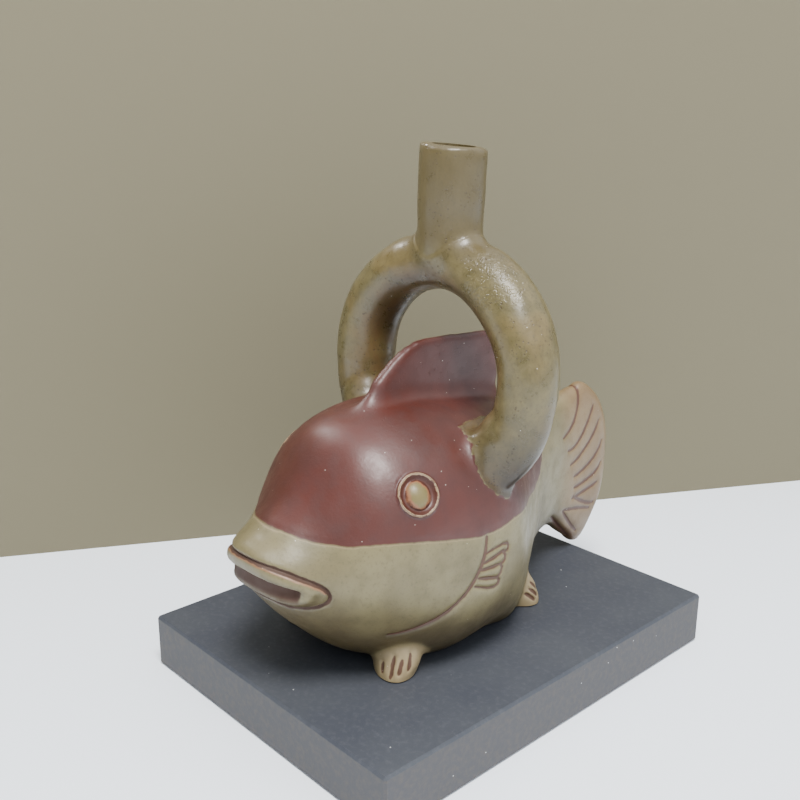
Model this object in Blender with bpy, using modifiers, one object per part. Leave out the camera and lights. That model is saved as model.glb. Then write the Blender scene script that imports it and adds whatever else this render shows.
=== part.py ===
"""A fish-shaped pottery bottle with a stirrup spout, standing on a dark slab plinth.

Run it with: blender --background --python part.py
Metres, +Z up. The origin is the centre of the plinth's underside. The fish looks along -Y, so its left side
is at +X, and it is symmetric about the plane X = 0. The bottle is one hollow piece of fired clay: the body
and its tail, the lips, eyes, back fin and feet, and a hollow stirrup whose bore joins the body to the spout.
"""

import math

import bmesh
import bpy
from mathutils import Matrix, Vector

# The plinth is a sawn board, its edges barely eased. The bottle stands on it with a hair's gap.
PLINTH_LENGTH = 0.100
PLINTH_WIDTH = 0.077
PLINTH_THICKNESS = 0.012
PLINTH_EASING = 0.0005
REST_GAP = 0.0003

# The fish, from the snout to the rim of the tail. Its belly is cut flat where it stands.
FISH_LENGTH = 0.1136
FISH_HEIGHT = 0.0540
FISH_WIDTH = 0.0500
SNOUT_OVERHANG = 0.0020
BODY_WALL = 0.0030
CAVITY_SHARE = 0.66
CAVITY_END_POWER = 0.25

# The mouth is a ring of two fat lips that wraps round the snout, drooping to its corners.
MOUTH_HEIGHT = 0.0243
MOUTH_DROOP = 0.0024
MOUTH_HALF_WIDTH = 0.0126
LIP_SPACING = 0.0023
LIP_RADIUS = 0.0020
LIP_SINK_AT_SNOUT = 0.0017
LIP_SINK_AT_CORNERS = 0.0005
LOWER_LIP_EXTRA_SINK = 0.0002
LOWER_LIP_REACH = 0.94
LIP_CORNER_SPACING = 0.15
LIP_CORNER_RADIUS = 0.75
LIP_SPREAD_POWER = 0.8
MOUTH_FAN = 0.6
SLIT_RADIUS = 0.0009
SLIT_SWEEP = math.radians(80)

# Each eye is a raised ring round a domed pupil.
EYE_SETBACK = 0.0273
EYE_HEIGHT = 0.0397
EYE_RADIUS = 0.0040
EYE_RIM_RADIUS = 0.0008
PUPIL_RADIUS = 0.0024
PUPIL_DOME = 0.65
EYE_RIM_LIFT = 0.3

# The back fin is a blade whose top edge rises, runs level and drops behind.
FIN_START = 0.0285
FIN_CREST_START = 0.0480
FIN_END = 0.0695
FIN_HEIGHT = 0.0634
FIN_ROOT_THICKNESS = 0.0044
FIN_EDGE_THICKNESS = 0.0020
FIN_SINK = 0.0060
FIN_CORNER = 0.0040
FIN_DROP = 0.0010

# The stirrup is a ring of tube across the back that leans back a little, and the spout stands on its crown.
STIRRUP_SETBACK = 0.0545
STIRRUP_CROWN_HEIGHT = 0.0790
STIRRUP_HALF_SPAN = 0.0240
STIRRUP_SHOULDER_HEIGHT = 0.0575
STIRRUP_FOOT_HEIGHT = 0.0345
STIRRUP_FOOT_HALF_SPAN = 0.0198
STIRRUP_LEAN = 0.10
STIRRUP_CROWN_RADIUS = 0.0060
STIRRUP_SHOULDER_RADIUS = 0.0067
STIRRUP_FOOT_RADIUS = 0.0038
STIRRUP_BORE_RADIUS = 0.0034
BORE_DRIFT_HEIGHT = 0.0440
BORE_DRIFT = 0.0035
BORE_DRIFT_POWER = 1.5
SPOUT_TOP_HEIGHT = 0.1025
SPOUT_RADIUS = 0.0070
SPOUT_BORE_RADIUS = 0.0046
BORE_OVERRUN = 0.0020

# Four short feet grip the plinth at the corners of the belly. Each row is the foot's setback from the snout,
# half spacing, heading out from straight ahead, length, width and height.
FEET = (
    (0.0290, 0.0135, math.radians(48), 0.0150, 0.0106, 0.0084),
    (0.0680, 0.0112, math.radians(112), 0.0100, 0.0070, 0.0075),
)

# The gill cover's edge and the rays of the tail are cut in as fine grooves. The gill's three places are each a
# setback from the snout and a height, and the rays fan out from a centre set forward of the tail's rim.
GROOVE_RADIUS = 0.0005
GILL_TOP = (0.0412, 0.0285)
GILL_BEND = (0.0398, 0.0140)
GILL_END = (0.0215, 0.0108)
TAIL_RAYS = 11
TAIL_RAY_GROOVE_RADIUS = 0.0007
TAIL_FAN_FORWARD = 0.0281
TAIL_FAN_HEIGHT = 0.0190
TAIL_ROOT_REACH = (0.0120, 0.0115)
TAIL_RIM_REACH = (0.0262, 0.0235)
TAIL_FAN_UP = math.radians(66)
TAIL_FAN_DOWN = math.radians(-52)
TAIL_RAY_STEPS = 4

# Mesh density.
BODY_RINGS = 38
BODY_SIDES = 36
CAVITY_RINGS = 20
CAVITY_SIDES = 24
TUBE_RESOLUTION = 2
STIRRUP_STEPS = 15
BORE_STEPS = 18
EYE_STEPS = 24
SLIT_STEPS = 16
GILL_STEPS = 10
WELD = 0.00001
LIP_STEPS = 24
HEAD_SHARE = 0.3
HALVINGS = 30
SLOPE_STEP = 0.0005

# Each row is a section across the fish: its setback from the snout as a share of the length, its top and
# bottom as shares of the height, its half width as a share of the width, and how square its upper and lower
# halves are, 2 for an ellipse. A bottom below 0 is cut off by the plinth's plane.
SECTIONS = (
    (0.000, 0.530, 0.530, 0.000, 2.0, 2.0),
    (0.013, 0.566, 0.425, 0.128, 1.8, 2.0),
    (0.044, 0.594, 0.331, 0.216, 1.8, 2.0),
    (0.099, 0.691, 0.191, 0.292, 1.8, 2.0),
    (0.191, 0.909, 0.035, 0.434, 2.0, 2.2),
    (0.326, 0.963, -0.065, 0.500, 2.2, 2.45),
    (0.458, 0.931, -0.074, 0.496, 2.2, 2.25),
    (0.581, 0.894, -0.098, 0.312, 2.2, 3.2),
    (0.695, 0.828, 0.069, 0.164, 2.2, 2.2),
    (0.783, 0.781, 0.161, 0.096, 2.4, 2.4),
    (0.854, 0.796, 0.075, 0.072, 3.0, 3.0),
    (0.902, 0.811, 0.009, 0.060, 3.6, 3.6),
    (0.968, 0.672, 0.170, 0.050, 3.6, 3.6),
    (1.000, 0.420, 0.420, 0.000, 2.6, 2.6),
)

STAND = PLINTH_THICKNESS + REST_GAP
SNOUT = -PLINTH_LENGTH / 2 - SNOUT_OVERHANG


def clear_scene():
    for obj in list(bpy.data.objects):
        bpy.data.objects.remove(obj)


def make_collection(name, hidden=False):
    collection = bpy.data.collections.new(name)
    bpy.context.scene.collection.children.link(collection)
    collection.hide_render = hidden
    return collection


def make_material(name, colour, roughness):
    material = bpy.data.materials.new(name)
    material.use_nodes = True
    shader = material.node_tree.nodes["Principled BSDF"]
    shader.inputs["Base Color"].default_value = (*colour, 1.0)
    shader.inputs["Roughness"].default_value = roughness
    shader.inputs["Metallic"].default_value = 0.0
    return material


def place(obj, collection, guide=False):
    """Move an object to a collection, and mark it as a guide where it is only joined on or cut away."""
    for owner in list(obj.users_collection):
        owner.objects.unlink(obj)
    collection.objects.link(obj)
    if guide:
        obj.hide_render = True
        obj.display_type = "WIRE"
    return obj


def roundness(share):
    """A length share as an angle from the snout's pole to the tail's, which rounds off both ends."""
    return math.acos(max(-1.0, min(1.0, 1 - 2 * share)))


def section(y):
    """Half width, top, bottom and the two squarenesses of the fish's section at y, in metres."""
    angle = roundness((y - SNOUT) / FISH_LENGTH)
    knots = [roundness(row[0]) for row in SECTIONS]
    last = len(knots) - 1
    right = next((k for k in range(1, last) if knots[k] >= angle), last)
    left = right - 1
    span = knots[right] - knots[left]
    t = (angle - knots[left]) / span

    def slope(k, column):
        before = max(0, k - 1)
        after = min(last, k + 1)
        return span * (SECTIONS[after][column] - SECTIONS[before][column]) / (knots[after] - knots[before])

    def value(column):
        return (
            (2 * t**3 - 3 * t**2 + 1) * SECTIONS[left][column]
            + (t**3 - 2 * t**2 + t) * slope(left, column)
            + (3 * t**2 - 2 * t**3) * SECTIONS[right][column]
            + (t**3 - t**2) * slope(right, column)
        )

    top = STAND + FISH_HEIGHT * value(1)
    bottom = STAND + FISH_HEIGHT * value(2)
    return FISH_WIDTH * value(3), top, bottom, value(4), value(5)


def on_section(y, turn, inset=0.0, scale=1.0):
    """The point at an angle round the section at y, 0 at the left side and a quarter turn at the back."""
    half_width, top, bottom, above, below = section(y)
    across = math.cos(turn)
    up = math.sin(turn)
    power = 2 / (above if up > 0 else below)
    half_height = (top - bottom) / 2
    x = scale * (half_width - inset) * math.copysign(abs(across) ** power, across)
    z = (top + bottom) / 2 + scale * (half_height - inset) * math.copysign(abs(up) ** power, up)
    return Vector((x, y, z))


def flank_x(y, z):
    """Half the fish's width at y and z, or 0 outside its outline."""
    half_width, top, bottom, above, below = section(y)
    half_height = (top - bottom) / 2
    rise = (z - (top + bottom) / 2) / half_height
    power = above if rise > 0 else below
    return half_width * max(0.0, 1 - abs(rise) ** power) ** (1 / power)


def front_y(x, z):
    """Where the front of the head is at x and z."""
    near = SNOUT
    far = SNOUT + HEAD_SHARE * FISH_LENGTH
    for _ in range(HALVINGS):
        middle = (near + far) / 2
        if flank_x(middle, z) > abs(x):
            far = middle
        else:
            near = middle
    return far


def flank_frame(y, z):
    """A point on the fish's left flank, with its outward, forward and upward directions."""
    step = SLOPE_STEP
    point = Vector((flank_x(y, z), y, z))
    along = Vector((flank_x(y + step, z) - flank_x(y - step, z), 2 * step, 0))
    upward = Vector((flank_x(y, z + step) - flank_x(y, z - step), 0, 2 * step))
    outward = along.cross(upward).normalized()
    forward = Vector((0, 0, 1)).cross(outward).normalized()
    return point, outward, forward, outward.cross(forward)


def ball(name, rings, sides):
    """A unit ball whose poles lie on Y."""
    bpy.ops.mesh.primitive_uv_sphere_add(segments=sides, ring_count=rings, radius=1.0)
    obj = bpy.context.object
    obj.name = name
    obj.data.name = name
    obj.data.transform(Matrix.Rotation(math.radians(90), 4, "X"))
    return obj


def body(collection):
    """The body and the tail fan, one ball drawn out through all the sections."""
    obj = ball("fish_vase", BODY_RINGS, BODY_SIDES)
    for vertex in obj.data.vertices:
        x, y, z = vertex.co
        vertex.co = on_section(SNOUT + FISH_LENGTH * (1 + y) / 2, math.atan2(z, x))
    return place(obj, collection)


def cavity(collection):
    """The hollow of the body, one wall in from its surface, from the snout to the root of the tail."""
    obj = ball("cavity", CAVITY_RINGS, CAVITY_SIDES)
    start = SNOUT + BODY_WALL
    length = CAVITY_SHARE * FISH_LENGTH
    for vertex in obj.data.vertices:
        x, y, z = vertex.co
        closing = (1 - min(1.0, y * y)) ** CAVITY_END_POWER
        vertex.co = on_section(start + length * (1 + y) / 2, math.atan2(z, x), BODY_WALL, closing)
        vertex.co.z = max(vertex.co.z, STAND + BODY_WALL)
    return place(obj, collection, guide=True)


def solid_from_curve(name, curve):
    """A curve's solid as a mesh of its own, with its caps welded on."""
    guide = bpy.data.objects.new(name + "_guide", curve)
    bpy.context.scene.collection.objects.link(guide)
    bpy.context.view_layer.update()
    mesh = bpy.data.meshes.new_from_object(guide.evaluated_get(bpy.context.evaluated_depsgraph_get()))
    mesh.name = name
    bpy.data.objects.remove(guide)
    skin = bmesh.new()
    skin.from_mesh(mesh)
    bmesh.ops.remove_doubles(skin, verts=skin.verts, dist=WELD)
    bmesh.ops.recalc_face_normals(skin, faces=skin.faces)
    skin.to_mesh(mesh)
    skin.free()
    return bpy.data.objects.new(name, mesh)


def tube(name, points, radii, collection, closed=False, resolution=TUBE_RESOLUTION):
    """A round tube along points, swelling as the radii say."""
    curve = bpy.data.curves.new(name, "CURVE")
    curve.dimensions = "3D"
    curve.bevel_depth = 1.0
    curve.bevel_resolution = resolution
    curve.use_fill_caps = not closed
    spline = curve.splines.new("POLY")
    spline.points.add(len(points) - 1)
    spline.use_cyclic_u = closed
    for spot, point, radius in zip(spline.points, points, radii):
        spot.co = (*point, 1.0)
        spot.radius = radius
    return place(solid_from_curve(name, curve), collection, guide=True)


def mouth_line(x):
    """The height of the line between the lips."""
    return STAND + MOUTH_HEIGHT - MOUTH_DROOP * (abs(x) / MOUTH_HALF_WIDTH) ** 2


def mouth_outward(x):
    """The level direction out of the snout, straight ahead at its middle and turned out at the corners."""
    return Vector((x, -MOUTH_FAN * MOUTH_HALF_WIDTH, 0)).normalized()


def lip(name, side, collection):
    """The upper lip for side 1 or the lower for -1, from corner to corner round the snout."""
    points = []
    radii = []
    reach = MOUTH_HALF_WIDTH if side > 0 else LOWER_LIP_REACH * MOUTH_HALF_WIDTH
    for k in range(LIP_STEPS + 1):
        turn = math.pi * (k / LIP_STEPS - 0.5)
        x = reach * math.sin(turn)
        spread = abs(math.cos(turn)) ** LIP_SPREAD_POWER
        z = mouth_line(x) + side * LIP_SPACING * (LIP_CORNER_SPACING + (1 - LIP_CORNER_SPACING) * spread)
        sink = LIP_SINK_AT_SNOUT + (LIP_SINK_AT_CORNERS - LIP_SINK_AT_SNOUT) * (x / reach) ** 2
        if side < 0:
            sink += LOWER_LIP_EXTRA_SINK
        points.append(Vector((x, front_y(x, z), z)) - sink * mouth_outward(x))
        radii.append(LIP_RADIUS * (LIP_CORNER_RADIUS + (1 - LIP_CORNER_RADIUS) * abs(math.cos(turn))))
    return tube(name, points, radii, collection)


def mouth_slit(collection):
    points = []
    for k in range(SLIT_STEPS + 1):
        x = (MOUTH_HALF_WIDTH - LIP_RADIUS) * math.sin(SLIT_SWEEP * (2 * k / SLIT_STEPS - 1))
        z = mouth_line(x)
        points.append(Vector((x, front_y(x, z), z)) + SLIT_RADIUS * mouth_outward(x))
    return tube("mouth_slit", points, [SLIT_RADIUS] * len(points), collection, resolution=1)


def eye(side, collection):
    """A ring that follows the flank, and a flattened ball for the pupil."""
    centre, outward, forward, upward = flank_frame(SNOUT + EYE_SETBACK, STAND + EYE_HEIGHT)
    mirror = Matrix.Diagonal((side, 1, 1, 1))
    points = []
    for k in range(EYE_STEPS):
        turn = 2 * math.pi * k / EYE_STEPS
        point = centre + EYE_RADIUS * (forward * math.cos(turn) + upward * math.sin(turn))
        point.x = flank_x(point.y, point.z)
        points.append(mirror @ (point + outward * EYE_RIM_LIFT * EYE_RIM_RADIUS))
    tube("eye_ring", points, [EYE_RIM_RADIUS] * EYE_STEPS, collection, closed=True, resolution=1)
    pupil = ball("pupil", 8, 16)
    frame = Matrix((forward, outward, upward)).transposed()
    for vertex in pupil.data.vertices:
        x, y, z = vertex.co * PUPIL_RADIUS
        vertex.co = mirror @ (centre + frame @ Vector((x, PUPIL_DOME * y, z)))
    if side > 0:
        pupil.data.flip_normals()
    return place(pupil, collection, guide=True)


def back_fin(collection):
    """A flat outline with thickness, thinned towards its top edge."""
    back = section(SNOUT + FIN_START)[1]
    crest = STAND + FIN_HEIGHT
    start = SNOUT + FIN_START
    end = SNOUT + FIN_END
    outline = [(end, section(end)[1] - FIN_SINK), (start, back - FIN_SINK), (start, back)]
    for k in range(1, 7):
        y = start + (FIN_CREST_START - FIN_START) * k / 6
        outline.append((y, back + (crest - back) * math.sin(math.radians(15 * k))))
    for k in range(4):
        turn = math.radians(30 * k)
        y = end - FIN_CORNER * (1 - math.sin(turn))
        outline.append((y, crest - FIN_DROP - FIN_CORNER * (1 - math.cos(turn))))
    curve = bpy.data.curves.new("back_fin", "CURVE")
    curve.dimensions = "2D"
    curve.fill_mode = "BOTH"
    curve.extrude = FIN_ROOT_THICKNESS / 2
    spline = curve.splines.new("POLY")
    spline.points.add(len(outline) - 1)
    spline.use_cyclic_u = True
    for spot, (y, z) in zip(spline.points, outline):
        spot.co = (y, z, 0, 1)
    obj = solid_from_curve("back_fin", curve)
    root = back - FIN_SINK
    for vertex in obj.data.vertices:
        y, z, x = vertex.co
        share = max(0.0, min(1.0, (z - root) / (crest - root)))
        thickness = FIN_ROOT_THICKNESS + (FIN_EDGE_THICKNESS - FIN_ROOT_THICKNESS) * share
        vertex.co = Vector((math.copysign(thickness / 2, x), y, z))
    return place(obj, collection, guide=True)


def foot(side, row, collection):
    """A paw, a ball squashed to its length, width and height, that the plinth's plane cuts flat."""
    setback, half_spacing, heading, length, width, height = row
    obj = ball("foot", 10, 16)
    turn = Matrix.Rotation(side * heading, 3, "Z")
    centre = Vector((side * half_spacing, SNOUT + setback, STAND))
    for vertex in obj.data.vertices:
        x, y, z = vertex.co
        vertex.co = centre + turn @ Vector((x * width / 2, y * length / 2, z * height))
    return place(obj, collection, guide=True)


def stirrup_point(turn):
    """The stirrup's centre line: a half ring from shoulder to shoulder, then a leg that draws in to its foot.

    The turn is 0 at the crown and a quarter turn at a shoulder, and past that it runs down the leg.
    """
    quarter = math.pi / 2
    side = math.copysign(1.0, turn)
    if abs(turn) <= quarter:
        x = STIRRUP_HALF_SPAN * math.sin(turn)
        rise = STIRRUP_CROWN_HEIGHT - STIRRUP_SHOULDER_HEIGHT
        height = STIRRUP_SHOULDER_HEIGHT + rise * math.cos(turn)
    else:
        down = (abs(turn) - quarter) / quarter
        x = side * (STIRRUP_HALF_SPAN - (STIRRUP_HALF_SPAN - STIRRUP_FOOT_HALF_SPAN) * down**2)
        height = STIRRUP_SHOULDER_HEIGHT + (STIRRUP_FOOT_HEIGHT - STIRRUP_SHOULDER_HEIGHT) * down
    lean = STIRRUP_LEAN * (STIRRUP_CROWN_HEIGHT - height)
    return Vector((x, SNOUT + STIRRUP_SETBACK - lean, STAND + height))


def stirrup(collection):
    points = []
    radii = []
    for k in range(-2 * STIRRUP_STEPS, 2 * STIRRUP_STEPS + 1):
        turn = math.pi / 2 * k / STIRRUP_STEPS
        swell = math.sin(min(abs(turn), math.pi / 2))
        taper = max(0.0, 2 * abs(turn) / math.pi - 1)
        points.append(stirrup_point(turn))
        radius = STIRRUP_CROWN_RADIUS + (STIRRUP_SHOULDER_RADIUS - STIRRUP_CROWN_RADIUS) * swell
        radii.append(radius + (STIRRUP_FOOT_RADIUS - STIRRUP_SHOULDER_RADIUS) * taper**2)
    return tube("stirrup", points, radii, collection, resolution=3)


def stirrup_bore(collection):
    """The passage in the stirrup, which drifts in through the flanks to the hollow of the body."""
    points = []
    for k in range(-BORE_STEPS, BORE_STEPS + 1):
        point = stirrup_point(math.pi * k / BORE_STEPS)
        depth = max(0.0, STAND + BORE_DRIFT_HEIGHT - point.z) / (BORE_DRIFT_HEIGHT - STIRRUP_FOOT_HEIGHT)
        point.x -= math.copysign(BORE_DRIFT * depth**BORE_DRIFT_POWER, point.x)
        points.append(point)
    return tube("stirrup_bore", points, [STIRRUP_BORE_RADIUS] * len(points), collection, resolution=1)


def spout(collection, name, radius, bottom, top):
    bpy.ops.mesh.primitive_cylinder_add(vertices=28, radius=radius, depth=top - bottom)
    obj = bpy.context.object
    obj.name = name
    obj.data.transform(Matrix.Translation((0, SNOUT + STIRRUP_SETBACK, (bottom + top) / 2)))
    return place(obj, collection, guide=True)


def stand_cut(collection):
    """The block below the plinth's plane that cuts the belly and the feet flat."""
    bpy.ops.mesh.primitive_cube_add(size=2 * FISH_LENGTH)
    obj = bpy.context.object
    obj.name = "stand_cut"
    obj.data.transform(Matrix.Translation((0, 0, STAND - FISH_LENGTH)))
    return place(obj, collection, guide=True)


def on_flank(setback, height, side):
    y = SNOUT + setback
    z = STAND + height
    return Vector((side * flank_x(y, z), y, z))


def gill(side, collection):
    """The edge of the gill cover, bent down the flank and forward under the belly."""
    points = []
    for k in range(GILL_STEPS + 1):
        t = k / GILL_STEPS
        setback, height = (
            (1 - t) ** 2 * GILL_TOP[i] + 2 * t * (1 - t) * GILL_BEND[i] + t**2 * GILL_END[i] for i in (0, 1)
        )
        points.append(on_flank(setback, height, side))
    return tube("gill", points, [GROOVE_RADIUS] * len(points), collection, resolution=0)


def tail_ray(side, k, collection):
    angle = TAIL_FAN_UP + (TAIL_FAN_DOWN - TAIL_FAN_UP) * k / (TAIL_RAYS - 1)
    points = []
    for step in range(TAIL_RAY_STEPS):
        t = step / (TAIL_RAY_STEPS - 1)
        reach = [TAIL_ROOT_REACH[i] + (TAIL_RIM_REACH[i] - TAIL_ROOT_REACH[i]) * t for i in (0, 1)]
        setback = FISH_LENGTH - TAIL_FAN_FORWARD + reach[0] * math.cos(angle)
        height = TAIL_FAN_HEIGHT + reach[1] * math.sin(angle)
        points.append(on_flank(setback, height, side))
    return tube("tail_ray", points, [TAIL_RAY_GROOVE_RADIUS] * len(points), collection, resolution=0)


def fish_bottle(collection, material):
    joined = make_collection("joined forms", hidden=True)
    cut = make_collection("cutters", hidden=True)
    crown = STAND + STIRRUP_CROWN_HEIGHT
    obj = body(collection)
    lip("upper_lip", 1, joined)
    lip("lower_lip", -1, joined)
    back_fin(joined)
    stirrup(joined)
    spout(joined, "spout", SPOUT_RADIUS, crown, STAND + SPOUT_TOP_HEIGHT)
    for side in (1, -1):
        eye(side, joined)
        for row in FEET:
            foot(side, row, joined)
    cavity(cut)
    stirrup_bore(cut)
    spout(cut, "spout_bore", SPOUT_BORE_RADIUS, crown, STAND + SPOUT_TOP_HEIGHT + BORE_OVERRUN)
    mouth_slit(cut)
    stand_cut(cut)
    for side in (1, -1):
        gill(side, cut)
        for k in range(TAIL_RAYS):
            tail_ray(side, k, cut)
    for operation, group in (("UNION", joined), ("DIFFERENCE", cut)):
        for piece in group.objects:
            boolean = obj.modifiers.new(piece.name, "BOOLEAN")
            boolean.solver = "EXACT"
            boolean.operation = operation
            boolean.object = piece
    obj.data.materials.append(material)
    return obj


def plinth(collection, material):
    bpy.ops.mesh.primitive_cube_add(size=1.0)
    obj = bpy.context.object
    obj.name = "plinth"
    obj.data.name = "plinth"
    obj.data.transform(Matrix.Diagonal((PLINTH_WIDTH, PLINTH_LENGTH, PLINTH_THICKNESS, 1)))
    obj.data.transform(Matrix.Translation((0, 0, PLINTH_THICKNESS / 2)))
    easing = obj.modifiers.new("eased edges", "BEVEL")
    easing.width = PLINTH_EASING
    easing.segments = 1
    obj.data.materials.append(material)
    return place(obj, collection)


clear_scene()
fish_vase = make_collection("fish_stirrup_vase")
fish_bottle(fish_vase, make_material("slipped clay", (0.42, 0.36, 0.22), 0.5))
plinth(fish_vase, make_material("dark board", (0.10, 0.11, 0.13), 0.6))
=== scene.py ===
"""Dress the fish-shaped stirrup bottle and its plinth, light them softly and set the camera.

The bottle is modelled again from its sizes, finer than the solid: its forms are run together like wet clay,
its lines are pressed in, and its two slips are laid over them. Metres, +Z up, the fish looking along -Y.
"""

import math

import bmesh
import bpy
import numpy as np
from mathutils import Matrix, Vector, noise


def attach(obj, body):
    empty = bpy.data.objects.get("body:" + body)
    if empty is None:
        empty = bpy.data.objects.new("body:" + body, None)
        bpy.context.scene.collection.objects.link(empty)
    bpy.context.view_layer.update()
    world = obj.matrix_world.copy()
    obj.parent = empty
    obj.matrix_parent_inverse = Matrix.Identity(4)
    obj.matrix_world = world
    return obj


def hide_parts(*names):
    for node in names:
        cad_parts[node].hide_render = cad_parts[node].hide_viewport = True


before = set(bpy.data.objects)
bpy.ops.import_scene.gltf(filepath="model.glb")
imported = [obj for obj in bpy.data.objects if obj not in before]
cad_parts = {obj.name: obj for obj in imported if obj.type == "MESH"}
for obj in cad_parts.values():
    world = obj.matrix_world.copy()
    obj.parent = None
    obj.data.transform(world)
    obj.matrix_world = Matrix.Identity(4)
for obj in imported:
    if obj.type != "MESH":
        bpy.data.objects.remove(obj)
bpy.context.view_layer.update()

# The plinth is a sawn board, its edges barely eased. The bottle stands on it with a hair's gap.
PLINTH_LENGTH = 0.100
PLINTH_THICKNESS = 0.012
REST_GAP = 0.0003

# The fish, from the snout to the rim of the tail. Its belly is cut flat where it stands.
FISH_LENGTH = 0.1136
FISH_HEIGHT = 0.0540
FISH_WIDTH = 0.0500
SNOUT_OVERHANG = 0.0020
BODY_WALL = 0.0030
CAVITY_SHARE = 0.66

# The mouth is a ring of two fat lips that wraps round the snout, drooping to its corners.
MOUTH_HEIGHT = 0.0252
MOUTH_DROOP = 0.0024
MOUTH_HALF_WIDTH = 0.0126
UPPER_LIP = (0.0019, 0.0017)
LOWER_LIP = (0.0029, 0.0021)
LOWER_LIP_REACH = 0.94
LIP_SPACING_AT_CORNERS = 0.15
LIP_RADIUS_AT_CORNERS = 0.75
LIP_SINK_AT_SNOUT = 0.0017
LIP_SINK_AT_CORNERS = 0.0005
LOWER_LIP_EXTRA_SINK = 0.0002

# Each eye is a raised ring round a domed pupil.
EYE_SETBACK = 0.0273
EYE_HEIGHT = 0.0397
EYE_RADIUS = 0.0040
PUPIL_RADIUS = 0.0026
PUPIL_HEIGHT = 1.22

# The back fin is a blade whose top edge rises, runs level and drops behind.
FIN_START = 0.0285
FIN_CREST_START = 0.0480
FIN_END = 0.0695
FIN_HEIGHT = 0.0634
FIN_ROOT_THICKNESS = 0.0044
FIN_EDGE_THICKNESS = 0.0020
FIN_SINK = 0.0060
FIN_CORNER = 0.0040
FIN_DROP = 0.0010

# The stirrup is a ring of tube across the back that leans back a little, and the spout stands on its crown.
STIRRUP_SETBACK = 0.0545
STIRRUP_CROWN_HEIGHT = 0.0790
STIRRUP_HALF_SPAN = 0.0240
STIRRUP_SHOULDER_HEIGHT = 0.0575
STIRRUP_FOOT_HEIGHT = 0.0345
STIRRUP_FOOT_HALF_SPAN = 0.0198
STIRRUP_LEAN = 0.10
STIRRUP_CROWN_RADIUS = 0.0060
STIRRUP_SHOULDER_RADIUS = 0.0067
STIRRUP_FOOT_RADIUS = 0.0038
STIRRUP_BORE_RADIUS = 0.0034
LEFT_LEG_THINNING = 0.0006
LEFT_LEG_OUT = 0.0005
LEG_ROOT = (
    ((0.0229, 0.0525, 0.0510), 0.0050),
    ((0.0212, 0.0497, 0.0468), 0.0055),
    ((0.0197, 0.0480, 0.0438), 0.0053),
    ((0.0194, 0.0468, 0.0405), 0.0046),
    ((0.0198, 0.0462, 0.0372), 0.0034),
)
LEFT_LEG_TURN = 0.52 * math.pi
LEFT_LEG_SPREAD = 0.5
LEG_END_START = 0.75
LEG_SWEEP = 0.0045
LEG_POINTING = 0.0020
BORE_DRIFT_HEIGHT = 0.0440
BORE_DRIFT = 0.0035
SPOUT_TOP_HEIGHT = 0.1025
SPOUT_RADIUS = 0.0070
SPOUT_LEAN = 0.035
SPOUT_RIM_SLANT = 0.06
SPOUT_BORE_RADIUS = 0.0046

# Four short feet. Each row is the foot's setback from the snout, half spacing, heading out from straight
# ahead, length, width and height.
FEET = (
    (0.0290, 0.0135, math.radians(48), 0.0150, 0.0106, 0.0084),
    (0.0680, 0.0112, math.radians(112), 0.0100, 0.0070, 0.0075),
)

# The gill cover's edge: its ends and the point that its curve bends towards.
GILL_TOP = (0.0412, 0.0285)
GILL_BEND = (0.0398, 0.0140)
GILL_END = (0.0215, 0.0108)

# Clay detail: the grid that the forms are run together on, and how far a finger's unevenness goes.
CLAY_GRID = 0.00080
HOLLOW_GRID = 0.0011
UNEVENNESS = 0.00018
UNEVENNESS_SIZE = 0.011
FIN_FILLET = (0.0022, 0.0045)
SPOUT_FILLET_RISE = 0.0045
SPOUT_FILLET_HEIGHT = (0.0045, 0.0085)
SPOUT_FILLET_REACH = (0.0095, 0.0130)
FOOT_FILLET = (0.0025, 0.0045)
LEG_FILLET = (0.0035, 0.0065)
LEG_FILLET_PLACE = (0.0175, -0.0100, 0.0440)

# Half the width and the depth of each kind of stroke.
GILL_STROKE = (0.00050, 0.00048)
LEAF_STROKE = (0.00036, 0.00036)
VEIN_STROKE = (0.00044, 0.00040)
TAIL_STROKE = (0.00052, 0.00030)
TOE_STROKE = (0.00048, 0.00036)

# How the edges of the slips stand up or lie in the surface.
LEG_SLIP_RISE = 0.00024
LEG_SLIP_RISES = (-0.0002, 0.0003)
LEG_SLIP_SETTLES = (0.0002, 0.0014)
RED_EDGE_DEPTH = 0.00012
RED_EDGE_WIDTH = 0.00035

# Distances from lines are worked out within the first of these, and all count as no more than the second.
LINE_REACH = 0.006
FAR = 0.02
MILLIMETRES = 1000

# How near to a line, and to the eye's middle, the skin is split finer, in two passes.
FINER_WITHIN = ((0.0009, 0.0056), (0.0004, 0.0048))
FINER_BY_LEG_SLIP = 0.0005

# The groove round the lips and the slit between them, unrolled round the middle of the head.
HEAD_MIDDLE = -0.036
HEAD_RADIUS = 0.0155
MOUTH_GROOVE_REACH = 0.0138
UPPER_GROOVE_RISE = 0.0035
LOWER_GROOVE_DROP = 0.0061
CORNER_LIFT = -0.0002
SLIT_REACH = 0.0118
SLIT_NARROWS = 0.0101
GAPE = 0.0032
GROOVE_DEPTH = 0.00060
GROOVE_WIDTH_INSIDE = 0.00045
GROOVE_WIDTH_OUTSIDE = 0.00030
SLIT_UPPER_WIDTH = 0.0003
SLIT_DEPTH = 0.00150

# The eye's relief.
EYE_RING_RISE = 0.00062
EYE_RING_WIDTH = 0.00034
EYE_HOLLOW = 0.00040
PUPIL_RISE = 0.00125
BROW_RADIUS = 0.0050
BROW_SPACING = 0.0007
BROW_RISE = 0.00022
BROW_WIDTH = 0.0003

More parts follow.
